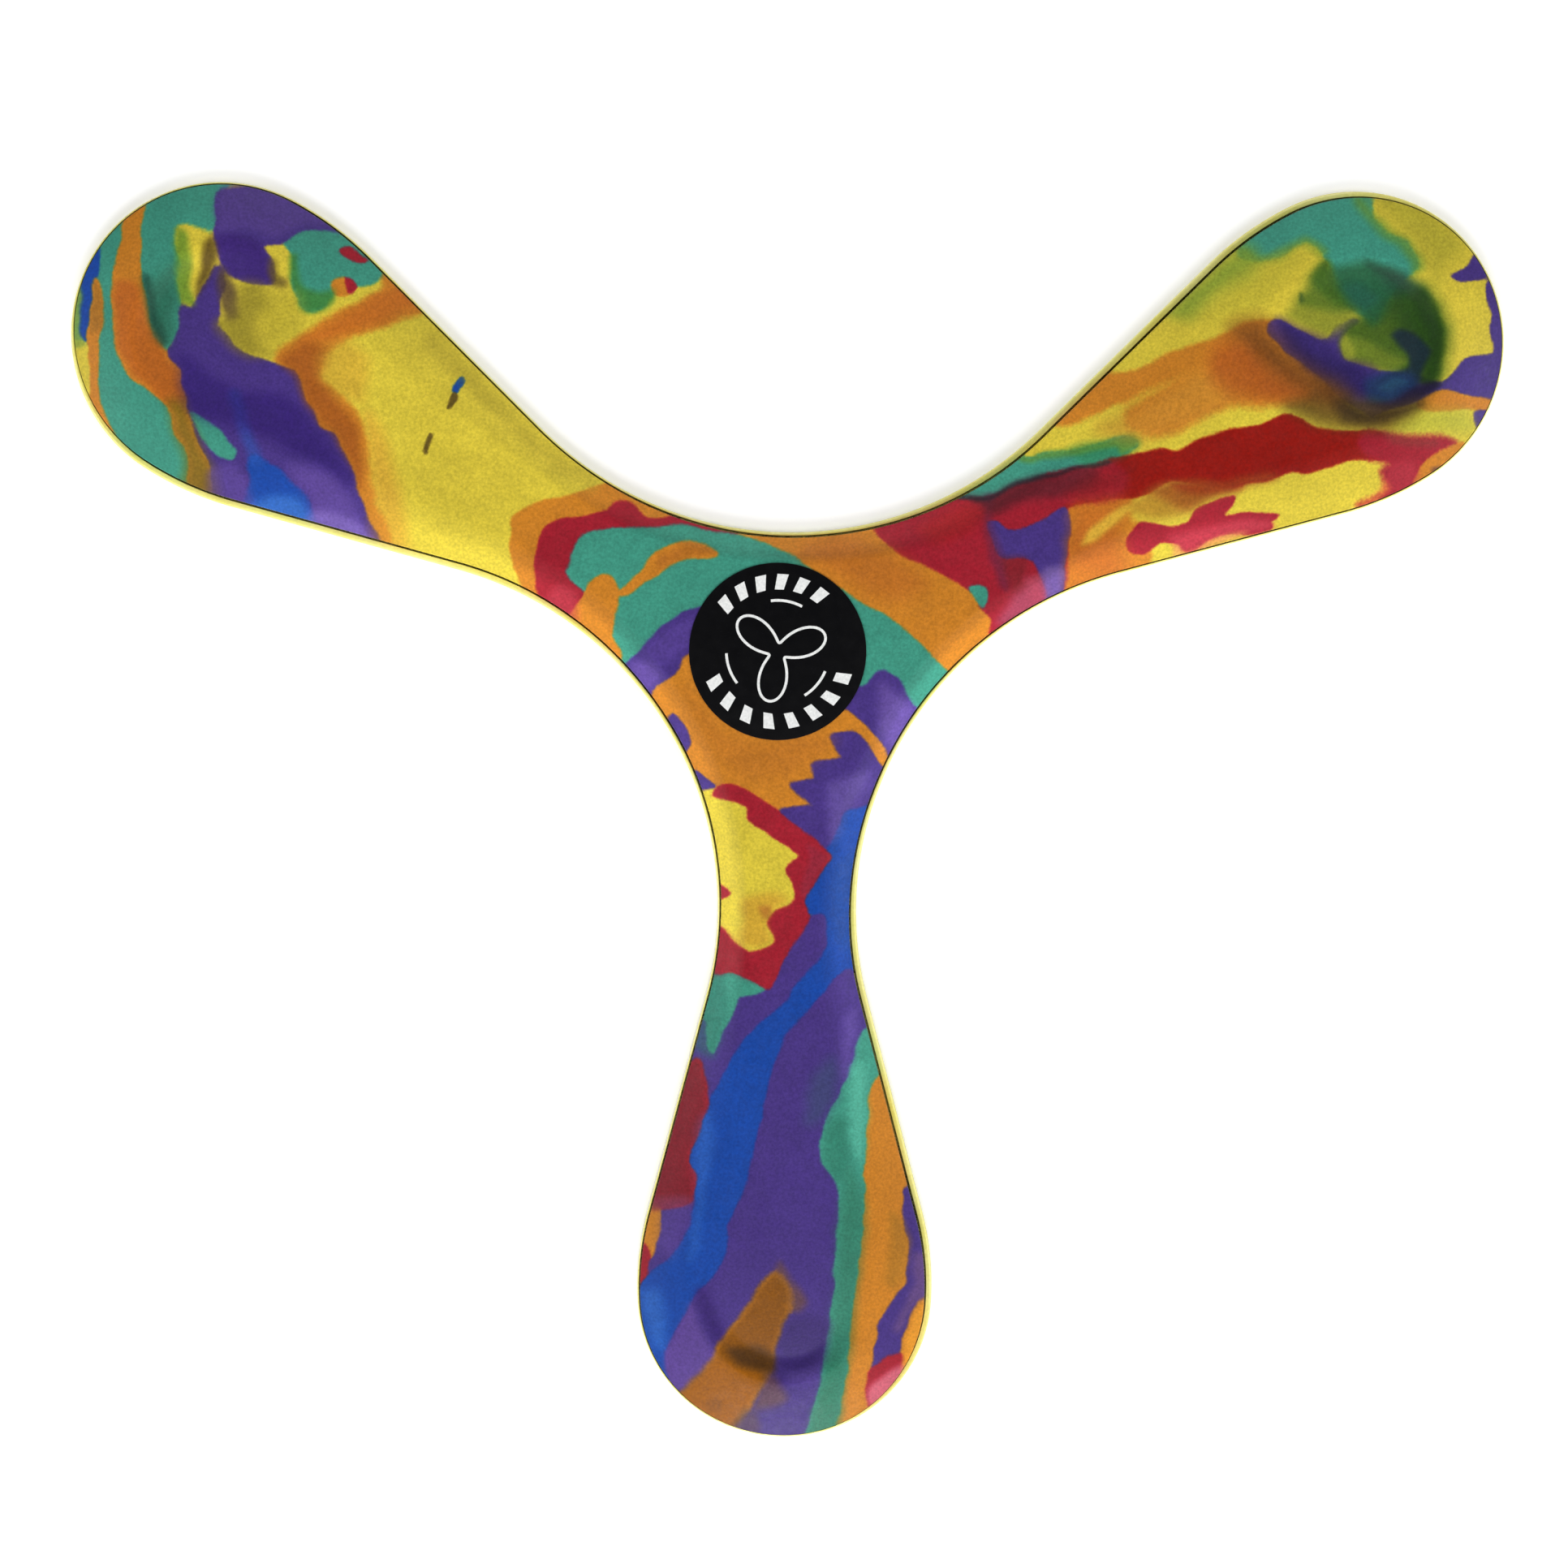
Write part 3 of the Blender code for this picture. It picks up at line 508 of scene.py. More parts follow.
    ((26, 60, 44), 0.85, 3.0, [(108, 76.6), (115, 74.6), (119.8, 70.5), (114, 70), (112, 72.5)]),
    ((26, 60, 14), 0.7, 6.0, [(112.5, 69), (117.5, 72), (121, 69.8), (123.5, 64), (123, 58), (121.2, 54.4),
     (116.5, 56), (117.5, 60), (115, 64)]),
    ((24, 54, 10), 0.8, 2.0, [(116.5, 70.5), (118.5, 71.8), (120.6, 69.8), (122.7, 64), (122.6, 58),
     (121.2, 54.4), (118.3, 54.7), (120.4, 58), (120, 63), (118, 67)]),
    ((104, 120, 32), 0.85, 2.2, [(103.3, 61.8), (104.5, 63.3), (108, 62.4), (112, 60.4), (115.4, 58.6),
     (113.5, 57.4), (110, 57.4), (105.3, 58.9)]),
    ((158, 156, 46), 0.6, 1.5, [(103, 61.5), (104.2, 63.2), (105.4, 61), (106, 59), (104.5, 59)]),
    ((20, 38, 50), 0.92, 1.5, [(112.8, 62.8), (114.3, 64.2), (117.3, 63.6), (120.4, 60.2), (119.4, 57.6),
     (117.5, 53.5), (110, 50.5), (108.2, 54), (112.5, 55.8), (116, 57.3), (115.7, 60)]),
    ((46, 32, 94), 0.7, 3.0, [(91, 66), (96, 64.2), (101, 62.2), (104, 58.6), (110, 57), (109, 50.5),
     (103, 52.6), (96, 57.4)]),
    ((36, 24, 80), 0.7, 3.0, [(93, 63.6), (99, 59.4), (106, 57.4), (109, 55), (109, 51), (103, 53),
     (97, 57.2)]),
    ((24, 48, 88), 0.8, 2.5, [(108.5, 55.2), (113, 56.4), (117, 56), (118, 53.2), (113, 51), (109, 50.5)]),
    ((32, 76, 100), 0.6, 1.6, [(111, 53.6), (114, 55), (116.2, 54.2), (113, 52.8)]),
    ((24, 18, 44), 0.85, 1.5, [(118, 53.8), (122, 54.6), (121.5, 53), (117, 50.6), (112, 49.2),
     (107, 50.2), (112.5, 51)]),
    ((88, 68, 22), 0.8, 5.0, [(93, 50), (99, 53.8), (105, 52), (112, 50), (119.5, 51.2), (115.5, 46.4),
     (109, 45.4), (103, 45.8), (98, 47)]),
    ((48, 34, 18), 0.74, 3.0, [(101, 52.8), (105, 51.6), (108, 48.8), (113, 49.4), (118.8, 50.6),
     (115.5, 48.2), (109, 46.6), (104, 48)]),
    ((104, 58, 18), 0.85, 7.0, [(83, 64), (88, 65.6), (91, 62.6), (97, 57.4), (104.5, 52.8), (101, 50.5),
     (93, 53), (87, 57.5)]),
    ((160, 76, 22), 0.7, 5.0, [(80, 61), (85, 61.5), (91, 56), (97, 52.3), (91, 51), (83, 52), (79, 56)]),
    ((150, 160, 48), 0.45, 4.0, [(114, 46.6), (119, 49.4), (127, 49.3), (129.5, 46), (124, 44.8),
     (117, 44.9)]),
    ((120, 60, 45), 0.5, 2.0, [(112, 45.2), (115, 44.4), (122, 43.3), (121, 42.2), (114, 43)]),
    ((176, 54, 66), 0.5, 3.0, [(113, 39), (118, 39.5), (118.6, 35.5), (115, 33), (112.5, 35)]),
    ((196, 68, 82), 0.6, 2.6, [(72, 25.5), (78, 27), (85, 28.4), (90.5, 28.6), (91, 26.6), (83, 25.2),
     (78, 23), (74, 22.5)]),
    ((216, 152, 84), 0.7, 1.2, [(73.2, 23.8), (75, 22.5), (78, 23.4), (82, 25.4), (87, 26.2), (82, 24),
     (75, 21.4), (72.5, 21.5)]),
    ((90, 60, 62), 0.7, 1.2, [(121.3, 38.3), (123.5, 38.6), (124.3, 37.6), (122, 36.6)]),
    ((235, 150, 60), 0.6, 2.2, [(107, 31.3), (111, 33), (112.3, 36), (113.3, 34.3), (110.5, 31)]),
    # Lower wing
    ((190, 142, 42), 0.7, 2.5, [(-8.3, -44), (-3.5, -43.2), (0.3, -44.3), (-1.5, -46), (-3, -47.6),
     (-3.6, -49.3), (-2.8, -52.2), (-5.5, -53.7), (-8.7, -52.7), (-8, -48.5)]),
    ((34, 104, 90), 0.5, 2.5, [(-17, -60), (-11.8, -60), (-11.6, -68), (-13.8, -75), (-18, -72)]),
    ((128, 14, 30), 0.4, 2.5, [(-15, -50), (-11.5, -51), (-7, -56), (-5, -60.5), (-10, -58.6),
     (-15, -59)]),
    ((150, 70, 30), 0.4, 1.5, [(-5.2, -45.8), (-3, -45.8), (-2.6, -47.5), (-4, -48.5)]),
    ((56, 66, 106), 0.75, 4.0, [(6, -78), (9, -75), (10.3, -78), (9.3, -84), (7, -87.5), (4, -88),
     (4.5, -82)]),
    ((24, 64, 130), 0.5, 3.0, [(9, -39), (13.5, -35), (15, -46), (13.5, -55), (9, -51)]),
    ((128, 40, 60), 0.5, 1.5, [(4, -33.8), (7.6, -35.5), (6.6, -38.3), (5.2, -41.3), (3.6, -44),
     (2.8, -41.5), (4.2, -37)]),
    ((104, 84, 160), 0.5, 3.0, [(11.5, -68), (13.5, -66), (13.5, -72), (11.5, -79), (10.5, -77)]),
    ((104, 86, 156), 0.6, 3.0, [(8, -22), (16, -20), (12, -27), (10.5, -32), (8.7, -33), (8, -29)]),
    ((38, 106, 86), 0.55, 2.5, [(7.6, -90.5), (9.5, -87), (12, -88), (12.6, -95), (11, -99), (8, -96)]),
    ((38, 98, 74), 0.45, 3.5, [(12.6, -97), (15.6, -104), (15.4, -112), (14.2, -122), (12.8, -135),
     (8.6, -135), (10, -121), (10.6, -106)]),
    ((40, 108, 82), 0.7, 3.0, [(8.6, -136), (12, -136), (11.4, -145), (10.4, -151), (5, -151), (7, -142)]),
    ((95, 185, 160), 0.5, 3.0, [(12.5, -77), (15, -76), (16, -84), (15, -96), (12.8, -92), (12.3, -84)]),
    ((112, 80, 122), 0.6, 2.2, [(25.4, -114), (28.5, -114), (28.5, -122), (25.5, -124), (22.8, -129.5),
     (21.5, -128.5), (23.8, -123), (25.2, -119)]),
    ((160, 108, 30), 0.7, 2.5, [(20.5, -106), (23, -107), (24.2, -112), (23.6, -117.5), (21.5, -121),
     (19.8, -119), (20.5, -113)]),
    ((198, 104, 120), 0.85, 2.0, [(17.2, -140.2), (19.5, -138.4), (21.2, -137), (23.5, -136), (24, -139),
     (18, -145), (16.4, -143)]),
    ((230, 154, 42), 0.7, 2.0, [(26, -124.5), (29, -123), (29, -131), (24, -138.5), (23.6, -134),
     (24.6, -129)]),
    ((112, 24, 36), 0.7, 2.0, [(-17.3, -75.5), (-15.6, -80), (-15.2, -84), (-17, -90), (-18.8, -94),
     (-18, -98), (-18.3, -103), (-26, -104), (-24, -84)]),
    ((108, 70, 46), 0.6, 2.2, [(-0.5, -115.5), (1.5, -119), (3.6, -121.7), (4.4, -123.6), (2.6, -125.5),
     (-0.5, -124), (-2, -118)]),
    ((146, 84, 6), 0.9, 1.8, [(-12.5, -134), (-15.5, -136.5), (-20.5, -142), (-20, -148), (-10, -149),
     (-7, -145), (-5, -142), (-3.4, -138), (-8, -136.5)]),
    ((120, 70, 6), 0.92, 2.2, [(-1.6, -118), (-4.2, -120), (-8, -126), (-12, -131.5), (-13, -134),
     (-9, -136.5), (-3, -137.5), (-1.8, -133), (-0.6, -129), (0.6, -125.5), (1, -121.5)]),
    # Painted shade along the lower scoop's tip-side wall
    ((72, 44, 14), 0.8, 2.4, [(-10.5, -132.6), (-6, -132.8), (-1.8, -134), (-1.8, -137), (-4, -137.4),
     (-9, -136)]),
    ((98, 66, 68), 0.75, 2.5, [(-4, -138), (-2, -138), (0, -141), (0.6, -143.4), (-2, -144.6),
     (-5.6, -145), (-4.6, -142)]),
    ((84, 60, 76), 0.7, 2.0, [(-7.5, -145), (-5, -146), (-5, -150), (-10, -149), (-9, -147)]),
    ((92, 66, 140), 0.75, 2.2, [(-18, -123.5), (-20.5, -129), (-23, -134), (-22.5, -141), (-19.5, -141),
     (-15.4, -136.6), (-13.6, -133.4), (-16.2, -129)]),
    # Painted shade: the next three stains darken the lower scoop along its walls
    ((52, 36, 96), 0.6, 3.0, [(0.5, -128), (4.5, -126), (8.8, -128), (8, -135), (2, -136), (-0.8, -133)]),
    ((50, 30, 100), 0.75, 2.5, [(-16.8, -121.5), (-15, -121), (-13.5, -125), (-11.8, -130.3),
     (-13.5, -131), (-15.7, -126.5)]),
    ((46, 30, 92), 0.7, 2.2, [(-0.5, -136.4), (-0.6, -134.6), (4, -134.3), (7.6, -131.5), (7.7, -134.3),
     (4, -136.8)]),
    ((96, 78, 150), 0.45, 2.5, [(1, -138.3), (7, -136.5), (6.3, -140), (1.5, -140.3)]),
    ((66, 116, 198), 0.36, 3.0, [(-17.3, -90), (-14.2, -86), (-14, -95), (-15.5, -103), (-16.5, -112),
     (-18.5, -115), (-17, -104)]),
    ((70, 125, 205), 0.45, 3.5, [(-28, -122), (-24, -121), (-23, -128), (-23.3, -133), (-26, -131)]),
    ((124, 48, 74), 0.7, 1.6, [(-25.5, -102.6), (-18.4, -102.4), (-18.6, -104.4), (-25.5, -105)]),
    ((104, 80, 156), 0.3, 3.0, [(-23.5, -104.5), (-18, -104.5), (-19.5, -112), (-22, -115),
     (-24.5, -112)]),
]

# Waves that warp the patches' edges: their seed, how many, their lengths in mm, and how far they shift an
# edge; then how finely an outline is drawn between its points, and how widely it rounds them
WARP_SEED = 5
WARP_WAVES = 14
WARP_LENGTHS = (4.0, 14.0)
WARP_SHIFT = 0.20
CURVE_STEPS = 5
CURVE_EASE = 0.36

# The outlines' own frame: how much larger than the object's it grows for each mm of height, and its shift
# in mm
MARBLE_GROWTH = (0.0021, 0.0027)
MARBLE_SHIFT = (0.22, -0.11)

# How far each patch laps over its neighbours in mm, how far beyond its soft edge places are measured, and the
# power that pigments are mixed in: a low power darkens the seams between colours, as blended pigments do
PATCH_LAP = 0.25
PATCH_MARGIN = 1.0
PIGMENT_POWER = 0.25


def closed_curve(points):
    """A smooth closed curve through the points, as an array of its own points."""
    knots = np.array(points, float)
    before, after = np.roll(knots, 1, axis=0), np.roll(knots, -1, axis=0)
    beyond = np.roll(knots, -2, axis=0)
    curve = []
    for step in range(CURVE_STEPS):
        t = step / CURVE_STEPS
        leave, arrive = CURVE_EASE * (after - before), CURVE_EASE * (beyond - knots)
        curve.append(
            knots * (2 * t**3 - 3 * t**2 + 1)
            + after * (3 * t**2 - 2 * t**3)
            + leave * (t**3 - 2 * t**2 + t)
            + arrive * (t**3 - t**2)
        )
    return np.stack(curve, axis=1).reshape(-1, 2)


def depth_inside(places, curve, reach):
    """How far each place lies inside a closed curve, below 0 outside; only places within reach count."""
    low, high = curve.min(axis=0) - reach, curve.max(axis=0) + reach
    near = np.flatnonzero(np.all((places > low) & (places < high), axis=1))
    depth = np.full(len(places), -reach)
    if not len(near):
        return depth
    spots = places[near]
    nearest = np.full(len(spots), np.inf)
    inside = np.zeros(len(spots), bool)
    for start, end in zip(curve, np.roll(curve, -1, axis=0)):
        run = end - start
        offset = spots - start
        share = np.clip(offset @ run / max(run @ run, TOLERANCE**2), 0.0, 1.0)
        gap = offset - share[:, None] * run
        nearest = np.minimum(nearest, np.einsum("ij,ij->i", gap, gap))
        crosses = (start[1] > spots[:, 1]) != (end[1] > spots[:, 1])
        if start[1] != end[1]:
            edge_x = start[0] + (spots[:, 1] - start[1]) * run[0] / run[1]
            inside ^= crosses & (spots[:, 0] < edge_x)
    depth[near] = np.sqrt(nearest) * np.where(inside, 1.0, -1.0)
    return depth


def warped(places):
    """The places shifted by a few fixed waves, so that patch edges wander as poured colours do."""
    random = np.random.default_rng(WARP_SEED)
    shift = np.zeros_like(places)
    for axis in (0, 1):
        for _ in range(WARP_WAVES):
            turn = random.uniform(0.0, 2.0 * math.pi)
            length = math.exp(random.uniform(*np.log(WARP_LENGTHS)))
            start = random.uniform(0.0, 2.0 * math.pi)
            across = places @ np.array((math.cos(turn), math.sin(turn)))
            shift[:, axis] += np.sin(2.0 * math.pi * across / length + start)
    return places + WARP_SHIFT * shift / math.sqrt(WARP_WAVES)


def rise(low, high, value):
    """0 below low, 1 above high and a smooth rise between them, for numbers or arrays."""
    share = np.clip((value - low) / (high - low), 0.0, 1.0)
    return share * share * (3.0 - 2.0 * share)


def linear(colour):
    """Linear red, green and blue of an 8-bit sRGB colour."""
    share = np.array(colour, float) / 255.0
    return tuple(np.where(share <= 0.04045, share / 12.92, ((share + 0.055) / 1.055) ** 2.4))


def pigment_power(colour):
    """An 8-bit sRGB colour as the power that pigments are mixed in."""
    return tuple(np.array(linear(colour)) ** PIGMENT_POWER)


def pigment_shares(places):
    """Each place's share of each pigment, one column for each; places in mm."""
    names = list(PIGMENTS)
    shares = np.zeros((len(places), len(names)))
    shares[:, 0] = 1.0
    for pigment, softness, outline in PATCHES:
        depth = depth_inside(places, closed_curve(outline), softness + PATCH_MARGIN)
        cover = np.clip((depth + PATCH_LAP) / softness + 0.5, 0.0, 1.0)
        shares *= 1.0 - cover[:, None]
        shares[:, names.index(pigment)] += cover
    return shares


def tint_and_light_cover(places):
    """Each place's tint, much of it painted light and shade, as colour times cover, and cover; places in mm.
    """
    colour = np.zeros((len(places), 3))
    cover = np.zeros(len(places))
    for tint_and_light, strength, softness, outline in TINTS_AND_PAINTED_LIGHT:
        depth = depth_inside(places, closed_curve(outline), softness + PATCH_MARGIN)
        layer = strength * rise(-softness / 2.0, softness / 2.0, depth)
        colour = colour * (1.0 - layer[:, None]) + np.array(pigment_power(tint_and_light)) * layer[:, None]
        cover = cover * (1.0 - layer) + layer
    return colour, cover


# ---------------------------------------------------------------- outline and heights


def blend(first, second, share):
    """The value a share of the way from the first to the second."""
    return first + (second - first) * share


class Arc:
    """A round stretch of the half wing's outline, between two angles in degrees."""

    def __init__(self, centre, radius, start, end, centre_inside):
        self.centre = np.array(centre)
        self.radius = radius
        self.start = math.radians(start)
        self.end = math.radians(end)
        self.side = 1.0 if centre_inside else -1.0
        self.length = radius * abs(self.end - self.start)

    def at(self, share):
        """Points and inward normals at shares of the way along."""
        angle = blend(self.start, self.end, np.asarray(share))
        spoke = np.stack([np.cos(angle), np.sin(angle)], axis=-1)
        return self.centre + self.radius * spoke, -self.side * spoke

    def foot(self, places):
        """Depth inside and share along for each place."""
        offset = places - self.centre
        angle = np.arctan2(offset[:, 1], offset[:, 0])
        middle = (self.start + self.end) / 2.0
        angle = middle + (angle - middle + math.pi) % (2.0 * math.pi) - math.pi
        depth = self.side * (self.radius - np.linalg.norm(offset, axis=1))
        return depth, (angle - self.start) / (self.end - self.start)


class Line:
    """The straight flank of the half wing's outline."""

    def __init__(self, start, along, inward, length):
        self.start = np.array(start)
        self.along = np.array(along)
        self.inward = np.array(inward)
        self.length = length

    def at(self, share):
        """Points and inward normals at shares of the way along."""
        share = np.asarray(share)[..., None]
        points = self.start + share * self.length * self.along
        return points, np.broadcast_to(self.inward, points.shape)

    def foot(self, places):
        """Depth inside and share along for each place."""
        offset = places - self.start
        return offset @ self.inward, offset @ self.along / self.length


def half_wing():
    """The half wing's stretches from the crotch to the tip: x runs out along the wing, y to its side."""
    slope = math.radians(FLANK_SLOPE)
    flank = np.array((math.cos(slope), math.sin(slope)))
    inward = np.array((math.sin(slope), -math.cos(slope)))
    middle = math.radians(HALF_ANGLE)
    bisector = np.array((math.cos(middle), math.sin(middle)))
    crotch_centre = (CROTCH_REACH + CROTCH_RADIUS) * bisector
    flank_start = crotch_centre + CROTCH_RADIUS * inward
    tip_centre = np.array((WING_REACH - TIP_RADIUS, 0.0))

    # The shoulder arc is tangent to the flank and, from outside, to the tip arc
    offset = flank_start + SHOULDER_RADIUS * inward - tip_centre
    along = offset @ flank
    spread = along * along - offset @ offset + (SHOULDER_RADIUS - TIP_RADIUS) ** 2
    flank_length = -along - math.sqrt(spread)
    shoulder_centre = flank_start + flank_length * flank + SHOULDER_RADIUS * inward
    joint = tip_centre - shoulder_centre
    joint_angle = math.degrees(math.atan2(joint[1], joint[0]))
    return [
        Arc(crotch_centre, CROTCH_RADIUS, 180.0 + HALF_ANGLE, 270.0 + FLANK_SLOPE, False),
        Line(flank_start, flank, inward, flank_length),
        Arc(shoulder_centre, SHOULDER_RADIUS, 90.0 + FLANK_SLOPE, joint_angle, True),
        Arc(tip_centre, TIP_RADIUS, joint_angle, 0.0, True),
    ]


HALF_WING = half_wing()
HALF_LENGTH = sum(stretch.length for stretch in HALF_WING)


def edge_value(values, leading, station):
    """Blends a (leading, trailing, tip) value from the crotch, where both sides agree, to the tip."""
    crotch = (values[0] + values[1]) / 2.0
    side = np.where(leading, values[0], values[1])
    value = blend(crotch, side, rise(0.0, LEAD_BLEND_END, station))
    return blend(value, values[2], rise(TIP_BLEND_START, 1.0, station))


def bevel_width(leading, reach):
    """Width of the bevel at a distance out along the wing."""
    width = np.where(leading, BEVEL_LEADING[0], BEVEL_TRAILING[0])
    steps = zip(BEVEL_REACHES, BEVEL_REACHES[1:], BEVEL_LEADING[1:], BEVEL_TRAILING[1:])
    for near, far, lead, trail in steps:
        width = blend(width, np.where(leading, lead, trail), rise(near, far, reach))
    return width


def rim_samples():
    """Points, inward normals and lip widths evenly round the whole outline, anticlockwise."""
    points, normals, stations = [], [], []
    before = 0.0
    for stretch in HALF_WING:
        count = max(2, round(stretch.length / RIM_SPACING))
        share = np.arange(count) / count
        point, normal = stretch.at(share)
        points.append(point)
        normals.append(normal)
        stations.append((before + share * stretch.length) / HALF_LENGTH)
        before += stretch.length
    point, normal, station = (np.concatenate(parts) for parts in (points, normals, stations))
    tip_point, tip_normal = HALF_WING[-1].at([1.0])
    mirror = np.array((1.0, -1.0))
    # Trailing side outward from the crotch, the tip, then the leading side back, short of the next crotch
    half_points = np.concatenate([point * mirror, tip_point, point[:0:-1]])
    half_normals = np.concatenate([normal * mirror, tip_normal, normal[:0:-1]])
    half_stations = np.concatenate([station, [1.0], station[:0:-1]])
    leading = np.arange(len(half_points)) > len(point)
    lip = edge_value(LIP_WIDTH, leading, half_stations)
    turns = [turned(angle) for angle in WING_ANGLES]
    return (
        np.concatenate([half_points @ turn.T for turn in turns]),
        np.concatenate([half_normals @ turn.T for turn in turns]),
        np.tile(lip, len(turns)),
    )


def turned(degrees):
    """The 2D matrix that turns by an angle."""
    cos, sin = math.cos(math.radians(degrees)), math.sin(math.radians(degrees))
    return np.array(((cos, -sin), (sin, cos)))


def wing_places(places):
    """Each place in its own wing's coordinates."""
    angle = np.degrees(np.arctan2(places[:, 1], places[:, 0]))
    own = np.empty_like(places)
    for wing in WING_ANGLES:
        mine = np.abs((angle - wing + 180.0) % 360.0 - 180.0) <= HALF_ANGLE + TOLERANCE
        own[mine] = places[mine] @ turned(wing)
    return own


def rim_depth(places):
    """Each place's depth inside the outline, and the station, side and reach of its foot on it."""
    own = wing_places(places)
    folded = np.stack([own[:, 0], np.abs(own[:, 1])], axis=1)
    depth = np.full(len(places), np.inf)
    station = np.zeros(len(places))
    reach = np.zeros(len(places))
    before = 0.0
    for stretch in HALF_WING:
        gap, share = stretch.foot(folded)
        own_stretch = (share >= -TOLERANCE) & (share <= 1.0 + TOLERANCE)
        best = own_stretch & (np.abs(gap) < np.abs(depth))
        foot, _ = stretch.at(np.clip(share, 0.0, 1.0))
        depth = np.where(best, gap, depth)
        reach = np.where(best, foot[:, 0], reach)
        station = np.where(best, (before + share * stretch.length) / HALF_LENGTH, station)
        before += stretch.length
    return depth, station, own[:, 1] > 0.0, reach


def soft_least(first, second, softness):
    """The smaller of two heights, eased where they meet."""
    ease = np.maximum(softness - np.abs(first - second), 0.0) / softness
    return np.minimum(first, second) - ease * ease * softness / 4.0


def skin_height(places):
    """Height of the skin's upper surface: bevel, flat middle and scoops."""
    depth, station, leading, reach = rim_depth(places)
    inset = depth - edge_value(LIP_WIDTH, leading, station)
    wall_top = SKIN_BOTTOM + edge_value(SKIN_WALL, leading, station)
    share = inset / bevel_width(leading, reach)
    crown = BEVEL_CROWN * np.sin(math.pi * np.clip(share, 0.0, 1.0))
    bevel = wall_top + (SKIN_TOP - wall_top) * (share + crown)
    height = soft_least(bevel, np.full(len(places), SKIN_TOP), CREASE_SOFTNESS)
    return height - scoop_drop(places)


def scoop_drop(places):
    """How far the scoops sink below the skin's surface."""
    own = wing_places(places)
    outward = own[:, 0] - SCOOP_REACH
    radius = np.hypot(outward, own[:, 1])
    fall = np.clip((outward / SCOOP_RADIUS + 1.0) / 2.0, 0.0, 1.0) ** SCOOP_FALL
    short = np.clip((SCOOP_RADIUS - radius) / SCOOP_WALL_RUN, 0.0, 1.0)
    return SCOOP_DEPTH * fall * short * short * (3.0 - 2.0 * short)


# ---------------------------------------------------------------- meshes


def make_mesh(name, points, faces, sharp_angle):
    """A smooth-shaded mesh object with sharp edges where faces meet at more than an angle."""
    mesh = bpy.data.meshes.new(name)
    mesh.from_pydata([tuple(point) for point in points], [], faces)
    mesh.validate()
    shape = bmesh.new()
    shape.from_mesh(mesh)
    bmesh.ops.recalc_face_normals(shape, faces=shape.faces)
    shape.to_mesh(mesh)
    shape.free()
    mesh.shade_smooth()
    mesh.set_sharp_from_angle(angle=sharp_angle)
    piece = bpy.data.objects.new(name, mesh)
    bpy.context.scene.collection.objects.link(piece)
    return piece


def ring_faces(first, second, count):
    """Quads between two closed rings of points, given the number of each ring's first point."""
    return [
        (first + i, first + (i + 1) % count, second + (i + 1) % count, second + i) for i in range(count)
    ]


def hex_grid(spacing):
    """Points of a grid of equal triangles over the whole outline's box."""
    row_gap = spacing * math.sqrt(3.0) / 2.0
    rows = np.arange(PLATE_LOW.y, PLATE_HIGH.y, row_gap)
    columns = np.arange(PLATE_LOW.x, PLATE_HIGH.x, spacing)
    x, y = np.meshgrid(columns, rows)
    x = x + (np.arange(len(rows)) % 2)[:, None] * spacing / 2.0
    return np.stack([x.ravel(), y.ravel()], axis=1)


def circle(centre, radius, count):
    """Points evenly round a centre."""
    angle = 2.0 * math.pi * np.arange(count) / count
    return centre + radius * np.stack([np.cos(angle), np.sin(angle)], axis=1)


def scoop_rings():
    """The rings of points that shape each scoop's wall."""
    rings = []
    for wing in WING_ANGLES:
        centre = turned(wing) @ np.array((SCOOP_REACH, 0.0))
        for growth in SCOOP_RINGS:
            radius = SCOOP_RADIUS + growth
            rings.append(circle(centre, radius, round(2.0 * math.pi * radius / GRID)))
    return rings


def free_grid():
    """The grid's points that are clear of the skin's edge and of the scoops' rings."""
    grid = hex_grid(GRID)
    depth, station, leading, _ = rim_depth(grid)
    inset = depth - edge_value(LIP_WIDTH, leading, station)
    own = wing_places(grid)
    growth = np.hypot(own[:, 0] - SCOOP_REACH, own[:, 1]) - SCOOP_RADIUS
    clear = GRID_CLEARANCE * GRID
    free = (growth < min(SCOOP_RINGS) - clear) | (growth > max(SCOOP_RINGS) + clear)
    return grid[(inset > WALL_ROUND + clear) & free]


def skin_top(edge):
    """The skin's upper surface inside its edge: its points, faces and the numbers of the edge's points."""
    rings = scoop_rings()
    count = start = len(edge)
    creases = []
    for ring in rings:
        creases += [(start + i, start + (i + 1) % len(ring)) for i in range(len(ring))]
        start += len(ring)
    places = np.concatenate([edge, *rings, free_grid()])
    # Measured in grid spacings; 1 keeps only the triangles inside the edge
    found = delaunay_2d_cdt(
        [Vector(place) for place in places / GRID], creases, [list(range(count))], 1, MERGE_SHARE
    )
    places = np.array([tuple(point) for point in found[0]]) * GRID
    faces = [tuple(face) for face in found[2]]
    own_number = {source: number for number, sources in enumerate(found[3]) for source in sources}
    points = np.column_stack([places, skin_height(places)])
    return points, faces, [own_number[i] for i in range(count)]


